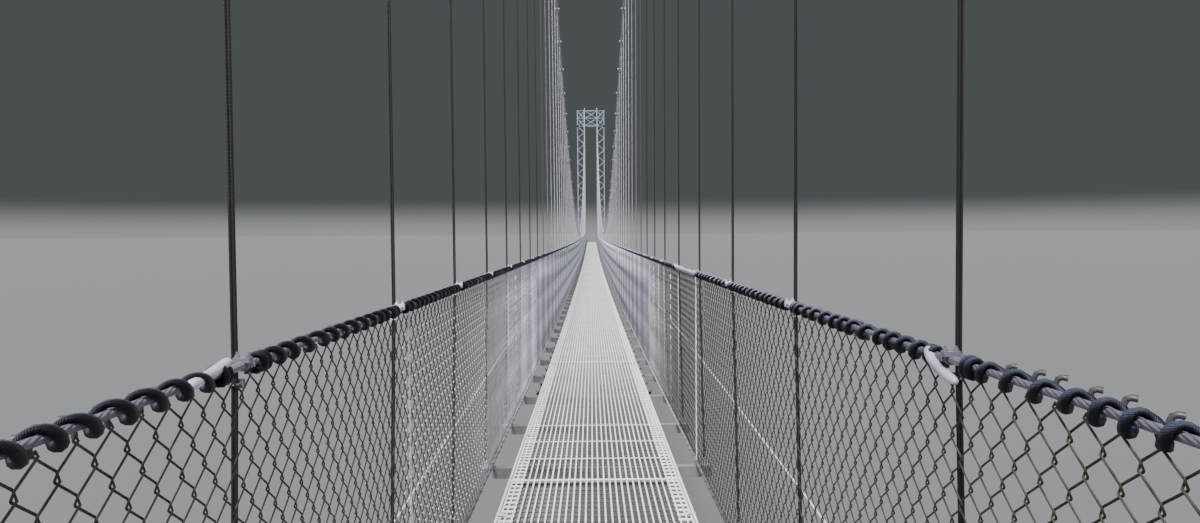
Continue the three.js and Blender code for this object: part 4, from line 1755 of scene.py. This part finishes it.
@dataclass(frozen=True)
class Tower:
    """A portal of two lattice legs and a lattice beam, all of steel angles and bolted plates."""

    inner_x: float = 600.0
    leg: float = 780.0
    foot: float = 903.0
    beam_depth: float = 1600.0
    post: float = 80.0
    post_thick: float = 10.0
    lace: float = 50.0
    lace_thick: float = 6.0
    lace_gap: float = 2.0
    zigzags: int = 22
    row_inset: float = 45.0
    plate: float = 150.0
    plate_inset: float = 36.0
    plate_drop: float = 100.0
    plate_thick: float = 8.0
    plate_gap: float = 1.5
    base_half: float = 100.0
    base_thick: float = 20.0
    base_inset: float = 30.0
    anchor_inset: float = 28.0
    brace_inset: float = 20.0
    saddle_half: float = 50.0
    saddle_gap: float = 3.0
    saddle_base: float = 18.0
    rib_half: float = 46.0
    rib_thick: float = 16.0
    cradle_depth: float = 30.0

    @property
    def lace_section(self) -> np.ndarray:
        """The section of a lace: an angle whose flat lies on the posts."""
        return angle(self.lace, self.lace_thick, (1, -1)) - np.array([self.lace / 2, 0])

    @property
    def beam_foot(self) -> float:
        """The height of the cross beam's lower edge."""
        return LINES.tower_top - self.beam_depth

    @property
    def rows(self) -> np.ndarray:
        """The heights of the cross beam's struts, above the lowest."""
        return np.array([self.beam_foot + self.beam_depth / 2, LINES.tower_top - self.row_inset])

    def posts(self) -> Form:
        """The leg's four corner posts, each an angle whose corner points outwards.

        Returns:
            The posts.
        """
        near, foot = LINES.half_span - self.leg / 2, self.foot + self.base_thick
        outlines = []
        for x, turn_x in ((self.inner_x, 1), (self.inner_x + self.leg, -1)):
            for y, turn_y in ((near, 1), (near + self.leg, -1)):
                flat = angle(self.post, self.post_thick, (turn_x, turn_y)) + np.array([x, y])
                outlines.append(np.column_stack([flat, np.full(len(flat), foot)]))
        return Form.plates(np.array(outlines), UP * (LINES.tower_top - foot))

    def crossed(self, base: np.ndarray, heights: np.ndarray, half: float, outwards: np.ndarray) -> Form:
        """Laces that cross between each two heights, one just behind the other.

        Args:
            base: the face's middle, at height 0.
            heights: where the laces meet.
            half: half the width that they cross; its sign tells which way the front one leans.
            outwards: the face's direction.

        Returns:
            The laces.
        """
        u = np.cross(UP, outwards)
        low, high = heights[:-1, None] * UP, heights[1:, None] * UP
        forms = []
        for sign, inset in ((-1, 0.0), (1, self.lace + self.lace_gap)):
            face = base - inset * outwards
            aside = sign * half * u
            forms.append(Form.bars(face + aside + low, face - aside + high, self.lace_section, outwards))
        return Form.joined(forms)

    def gussets(self, places: np.ndarray, outwards: np.ndarray, shape: np.ndarray, spots: np.ndarray) -> Form:
        """Plates of one shape on a face's posts and laces, each with its bolts.

        Args:
            places: the plates' middles on the face.
            outwards: the face's direction.
            shape: the plates' outline, across and up.
            spots: the bolts' places on a plate, across and up.

        Returns:
            Plates and bolts.
        """
        u = np.cross(UP, outwards)
        middles = (places + outwards * (self.post_thick + self.plate_gap))[:, None]
        plates = Form.plates(middles + shape[:, :1] * u + shape[:, 1:] * UP, outwards * self.plate_thick)
        heads = middles + spots[:, :1] * u + spots[:, 1:] * UP + outwards * self.plate_thick
        bolts = HARDWARE.bolt(26.0, 11.0).copied(heads.reshape(-1, 3), standing(outwards))
        return Form.joined([plates, bolts])

    def face(self, outwards: np.ndarray) -> Form:
        """One face of the leg: zigzag laces, crossed ones near the top, and their plates.

        The face's middle is at the origin; it spreads across u, which is up crossed with
        outwards, by half the leg's size less half a post. Opposite faces lean the same way.

        Args:
            outwards: the face's direction.

        Returns:
            Laces, struts, plates and bolts.
        """
        levels = np.linspace(self.foot + 60.0, self.beam_foot, self.zigzags + 1)
        crosses = np.append(self.beam_foot, self.rows)
        u = np.cross(UP, outwards)
        half = (self.leg - self.post) / 2
        back = -(self.post_thick + 1.0) * outwards
        ends = np.where(np.arange(len(levels)) % 2 == 0, -half, half) * outwards.sum()
        knots = ends[:, None] * u + levels[:, None] * UP + back
        struts = crosses[:, None] * UP + back
        middles = (struts[:-1] + struts[1:]) / 2
        tops = struts.copy()
        tops[:, 2] = np.minimum(tops[:, 2], LINES.tower_top - self.plate_drop)
        inner = half - self.plate_inset
        shrunk = knots * (UP + np.abs(outwards)) + knots * np.abs(u) * inner / half
        places = np.concatenate([shrunk, tops - inner * u, tops + inner * u, middles])
        w, h = self.plate / 2, self.plate * 0.62
        corner = np.array([[w, h * 0.6], [w * 0.6, h]])
        shape = np.concatenate([corner * [-1, -1], corner[::-1] * [1, -1], corner, corner[::-1] * [-1, 1]])
        spots = np.array([[x, z] for x in (-38, 38) for z in (-50, 50)], float)
        return Form.joined([
            Form.bars(knots[:-1], knots[1:], self.lace_section, outwards),
            self.crossed(back, crosses, half, outwards),
            Form.bars(struts - half * u, struts + half * u, self.lace_section, outwards),
            self.gussets(places, outwards, shape, spots),
        ])

    def leg_form(self) -> Form:
        """The far right leg with its base plates and anchor bolts.

        Returns:
            The leg.
        """
        middle = np.array([self.inner_x + self.leg / 2, LINES.half_span, 0.0])
        faces = [
            self.face(outwards).copied(middle + outwards * self.leg / 2)
            for outwards in (ACROSS, -ACROSS, ALONG, -ALONG)
        ]
        signs = np.array([[x, y, 0] for x in (-1, 1) for y in (-1, 1)])
        spread = self.base_half * np.array([1.0, 1.0, 0.0])
        corners = middle + self.foot * UP + signs * (self.leg / 2 - self.base_inset)
        plates = Form.blocks(corners - spread, corners + spread + self.base_thick * UP)
        spots = corners[:, None] + signs * (self.base_half - self.anchor_inset) + self.base_thick * UP
        anchors = HARDWARE.bolt(38.0, 20.0).copied(spots.reshape(-1, 3))
        return Form.joined([self.posts(), *faces, plates, anchors])

    def beam_form(self) -> Form:
        """The far cross beam: four rails, two rows of crossed laces and their plates.

        Returns:
            The beam.
        """
        half, foot = self.inner_x - 3.0, self.beam_foot
        near, far = LINES.half_span - self.leg / 2, LINES.half_span + self.leg / 2
        rows = np.append(foot + self.row_inset, self.rows)
        forms = []
        for y, turn_y in ((near, 1), (far, -1)):
            for z, turn_z in ((foot, 1), (LINES.tower_top, -1)):
                rail = angle(self.post, self.post_thick, (-turn_y, turn_z))
                forms.append(Form.bars([-half, y, z], [half, y, z], rail))
        spots = [[0, z] for z in (rows[:-1] + rows[1:]) / 2]
        spots = np.array(spots + [[x, z] for z in rows for x in (70 - half, 0, half - 70)])
        spots[:, 1] = np.clip(spots[:, 1], foot + 80, LINES.tower_top - 80)
        w, h = 92.0, 76.0
        shape = np.array([[-w, 0], [-w / 2, -h], [w / 2, -h], [w, 0], [w / 2, h], [-w / 2, h]])
        heads = np.array([[x, z] for x in (-42, 42) for z in (-30, 30)], float)
        for outwards in (ALONG, -ALONG):
            u = np.cross(UP, outwards)
            base = LINES.half_span * ALONG + outwards * (self.leg / 2 - self.post_thick - 1)
            strut = base + rows[1] * UP
            forms.append(self.crossed(base, rows, -half, outwards))
            forms.append(Form.bars(strut - half * u, strut + half * u, self.lace_section, outwards))
            forms.append(self.gussets(base + spots[:, :1] * u + spots[:, 1:] * UP, outwards, shape, heads))
        inset = self.brace_inset * ALONG
        for z in (foot + 14, LINES.tower_top - 21):
            for sign, lift in ((-1, 0.0), (1, self.lace_thick + 1.0)):
                start = np.array([-half * sign, near, z + lift]) + inset
                end = np.array([half * sign, far, z + lift]) - inset
                forms.append(Form.bars(start, end, bar(self.lace, self.lace_thick)))
        return Form.joined(forms)

    def saddle_form(self) -> Form:
        """The far right saddle: a grooved cradle under the bent cable, on ribs and a plate.

        Returns:
            The saddle.
        """
        path = LINES.saddle_bend()
        groove = np.array([
            [-50, 10], [-50, -34], [50, -34], [50, 10], [30, 10],
            [21, -6], [8, -21], [-8, -21], [-21, -6], [-30, 10],
        ], float)
        base = LINES.tower_top + self.saddle_gap
        middle = np.array([LINES.cable_x, LINES.half_span, base])
        spread = np.array([self.saddle_half, LINES.saddle_reach, 0])
        plate = Form.blocks(middle - spread, middle + spread + self.saddle_base * UP)
        ribs = path[1:-1:2]
        low = track(ribs[:, 0] - self.rib_half, ribs[:, 1] - self.rib_thick / 2, base + 10)
        high = ribs + np.array([self.rib_half, self.rib_thick / 2, -self.cradle_depth])
        feet = path[[-1, 0]] * np.array([1, 1, 0]) + (base + 10) * UP
        web = np.concatenate([path - self.cradle_depth * UP, feet]) - self.rib_thick / 2 * ACROSS
        spots = [[x, y, self.saddle_base] for x in (-36, 36) for y in (-340, -120, 120, 340)]
        return Form.joined([
            Form.swept(path, groove), plate, Form.blocks(low, high),
            Form.plates(web, self.rib_thick * ACROSS), HARDWARE.bolt(22.0, 12.0).copied(middle + spots),
        ])

    def build(self) -> None:
        """Puts both towers with their saddles into the scene."""
        leg, saddle, beam = self.leg_form(), self.saddle_form(), self.beam_form()
        for end in End:
            for side in Side:
                place = f"{end.label}_{side.label}"
                turn = (side.value, end.value)
                leg.mirrored(*turn).piece(f"{place}_lattice_leg", STEEL, [f"{place}_tower_leg"])
                saddle.mirrored(*turn).piece(f"{place}_saddle", STEEL, [f"{place}_cable_saddle"])
            name = f"{end.label}_lattice_beam"
            beam.mirrored(1, end.value).piece(name, STEEL, [f"{end.label}_tower_cross_beam"])


@dataclass(frozen=True)
class WindGuy:
    """A wind guy, bowed towards the deck at midspan, with ties, clips and turnbuckles.

    buckle is the turnbuckle's outline: shares of its length, each with a radius.
    """

    side: Side
    mid_x: float
    end_x: float
    mid_height: float = 1510.0
    end_height: float = 265.0
    radius: float = 10.0
    parts: int = 61
    reach: float = 50497.0
    tie_bays: tuple[int, ...] = (20, 30, 40, 50, 60)
    tie_radius: float = 6.0
    beam_x: float = 663.0
    beam_drop: float = 60.0
    buckle_length: float = 420.0
    buckle: tuple[tuple[float, float], ...] = (
        (0.0, 24.0), (0.1, 24.0), (0.12, 15.0), (0.8, 15.0), (0.82, 20.0), (1.0, 20.0),
    )

    def at(self, y: np.ndarray) -> np.ndarray:
        """The guy at y: x and height change with the square of y from their midspan values.

        Args:
            y: places along the bridge.

        Returns:
            A point for each place.
        """
        share = (y / LINES.half_span) ** 2
        height = self.mid_height + (self.end_height - self.mid_height) * share
        return track(self.mid_x + (self.end_x - self.mid_x) * share, y, height)

    def build(self) -> None:
        """Puts the guy, its ties and its fittings into the scene."""
        y = LINES.start(np.array(self.tie_bays))
        knots = self.at(y)
        ends = np.array([-self.reach, self.reach])
        inner = ends * (1 - self.buckle_length / self.reach)
        rope = Form.swept(self.at(np.linspace(*ends, self.parts)), ring(self.radius, 8))
        ties = Form.bars(knots, LINES.deck_line(self.beam_x, y, self.beam_drop), ring(self.tie_radius, 6))
        clips = HARDWARE.clip(12.0, 4.0).copied(knots)
        buckles = Form.turned(self.at(ends), self.at(inner) - self.at(ends), self.buckle, 8)
        Form.joined([rope, ties]).beside("guy_rope", GUY, "wind_guy", sides=[self.side])
        Form.joined([clips, buckles]).beside("guy_fittings", FITTING, sides=[self.side])


@dataclass(frozen=True)
class Concrete:
    """Every block of cast concrete, with its edges chamfered."""

    chamfer: float = 18.0
    loose: float = 0.1
    flat: float = 2.0
    names: tuple[str, ...] = ("tower_pedestal", "cable_anchor_block", "guy_anchor_block")

    def cast(self, node: str) -> None:
        """Copies a plain block, merges its loose corners and chamfers its edges.

        Args:
            node: the block's name.
        """
        name = f"{node}_cast"
        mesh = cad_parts[node].data.copy()
        mesh.name = name
        piece = bpy.data.objects.new(name, mesh)
        bpy.context.scene.collection.objects.link(piece)
        weld = piece.modifiers.new("weld", "WELD")
        weld.merge_threshold = self.loose * MM
        flat = piece.modifiers.new("flat", "DECIMATE")
        flat.decimate_type = "DISSOLVE"
        flat.angle_limit = math.radians(self.flat)
        edge = piece.modifiers.new("chamfer", "BEVEL")
        edge.width = self.chamfer * MM
        edge.segments = 2
        edge.limit_method = "ANGLE"
        made = bpy.data.meshes.new_from_object(piece.evaluated_get(bpy.context.evaluated_depsgraph_get()))
        piece.modifiers.clear()
        piece.data = made
        made.polygons.foreach_set("use_smooth", np.zeros(len(made.polygons), bool))
        made.materials.clear()
        made.materials.append(CONCRETE.material())
        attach(piece, "root")
        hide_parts(node)
        log.info("%s: %d faces", name, len(made.polygons))

    def build(self) -> None:
        """Casts each block in turn."""
        for end in End:
            self.cast(f"{end.label}_abutment")
            for side in Side:
                for name in self.names:
                    self.cast(f"{end.label}_{side.label}_{name}")


# The studio


@dataclass(frozen=True)
class Studio:
    """A plain pale floor, soft light, and the camera where the photograph was taken from."""

    eye: Colour = (-9.0, -46552.0, 3542.5)
    lens: float = 28.29
    sensor: float = 36.0
    sight: tuple[float, float] = (0.005, 400.0)
    pitch: float = -1.85
    roll: float = 0.44
    yaw: float = -0.52
    floor_reach: float = 1200000.0
    floor_drop: float = 2.0
    floor_colour: Colour = (0.100, 0.102, 0.100)
    horizon_colour: Colour = (0.325, 0.333, 0.336)
    backdrop_colour: Colour = (0.075, 0.085, 0.09)
    horizon_rise: float = 0.04
    backdrop_radius: float = 1150000.0
    backdrop_turns: int = 48
    backdrop_rises: int = 40
    sky: Colour = (0.80, 0.86, 1.0)
    sky_strength: float = 0.75
    sun_strength: float = 8.0
    sun_spread: float = 16.0
    sun_turn: Colour = (28.0, -9.0, 0.0)

    def camera(self) -> None:
        """Makes the camera and looks through it."""
        data = bpy.data.cameras.new("view")
        data.lens = self.lens
        data.sensor_width = self.sensor
        data.clip_start, data.clip_end = self.sight
        camera = bpy.data.objects.new("view", data)
        camera.location = [part * MM for part in self.eye]
        camera.rotation_euler = [math.radians(turn) for turn in (90 + self.pitch, self.roll, self.yaw)]
        bpy.context.scene.collection.objects.link(camera)
        bpy.context.scene.camera = camera

    def floor(self) -> None:
        """Makes the floor, a flat sheet just under the concrete."""
        corners = ((-1, -1), (1, -1), (1, 1), (-1, 1))
        reach, drop = self.floor_reach * MM, self.floor_drop * MM
        points = [(x * reach, y * reach, -drop) for x, y in corners]
        mesh = bpy.data.meshes.new("floor")
        mesh.from_pydata(points, [], [(0, 1, 2, 3)])
        floor = bpy.data.objects.new("floor", mesh)
        mesh.materials.append(Paper("studio_floor", "", self.floor_colour).material())
        bpy.context.scene.collection.objects.link(floor)

    def backdrop(self) -> None:
        """Makes a dome that only the camera sees: pale at the horizon and grey above it.

        Its points are radius times the cosine and sine of the turn, times the cosine of the
        rise, with radius times the sine of the rise for height.
        """
        turn = np.linspace(0, 2 * np.pi, self.backdrop_turns + 1)[:-1]
        rise = np.linspace(-0.2, np.pi / 2, self.backdrop_rises)[:, None]
        flat = np.cos(rise)
        points = self.backdrop_radius * MM * track(flat * np.cos(turn), flat * np.sin(turn), np.sin(rise))
        number = np.arange(rise.size * turn.size).reshape(rise.size, turn.size)
        beside = np.roll(number, -1, 1)
        quads = np.stack([number[:-1], beside[:-1], beside[1:], number[1:]], -1)
        mesh = bpy.data.meshes.new("backdrop")
        mesh.from_pydata(points.reshape(-1, 3).tolist(), [], quads.reshape(-1, 4).tolist())
        dome = bpy.data.objects.new("backdrop", mesh)
        shader = Shader("backdrop")
        height = shader.axis("Z").ramp(0.0, self.backdrop_radius * self.horizon_rise)
        shader.coat(
            Base_Color=(0.0, 0.0, 0.0), Roughness=1.0, Specular_IOR_Level=0.0, Emission_Strength=1.0,
            Emission_Color=shader.blend(height, self.horizon_colour, self.backdrop_colour),
        )
        mesh.materials.append(shader.material)
        for sight in ("visible_diffuse", "visible_glossy", "visible_shadow", "visible_transmission"):
            setattr(dome, sight, False)
        bpy.context.scene.collection.objects.link(dome)

    def light(self) -> None:
        """Makes a pale sky all round and one wide soft lamp from above."""
        world = bpy.data.worlds.new("sky")
        world.use_nodes = True
        background = world.node_tree.nodes["Background"]
        background.inputs["Color"].default_value = (*self.sky, 1.0)
        background.inputs["Strength"].default_value = self.sky_strength
        bpy.context.scene.world = world
        data = bpy.data.lights.new("key", "SUN")
        data.energy = self.sun_strength
        data.angle = math.radians(self.sun_spread)
        key = bpy.data.objects.new("key", data)
        key.rotation_euler = [math.radians(turn) for turn in self.sun_turn]
        bpy.context.scene.collection.objects.link(key)

    def build(self) -> None:
        """Sets the studio up."""
        self.camera()
        self.floor()
        self.backdrop()
        self.light()


def main() -> None:
    """Builds the bridge's sub-assemblies in order."""
    logging.basicConfig(level=logging.INFO, format="%(name)s %(message)s")
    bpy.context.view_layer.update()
    Studio().build()
    parts = (
        Deck(), ChainLink(), HandRope(), SideRope(), MainCable(), Tower(),
        WindGuy(Side.LEFT, 1700.0, 2050.0), WindGuy(Side.RIGHT, 1915.0, 2345.0), Concrete(),
    )
    for part in parts:
        part.build()


if __name__ == "__main__":
    main()
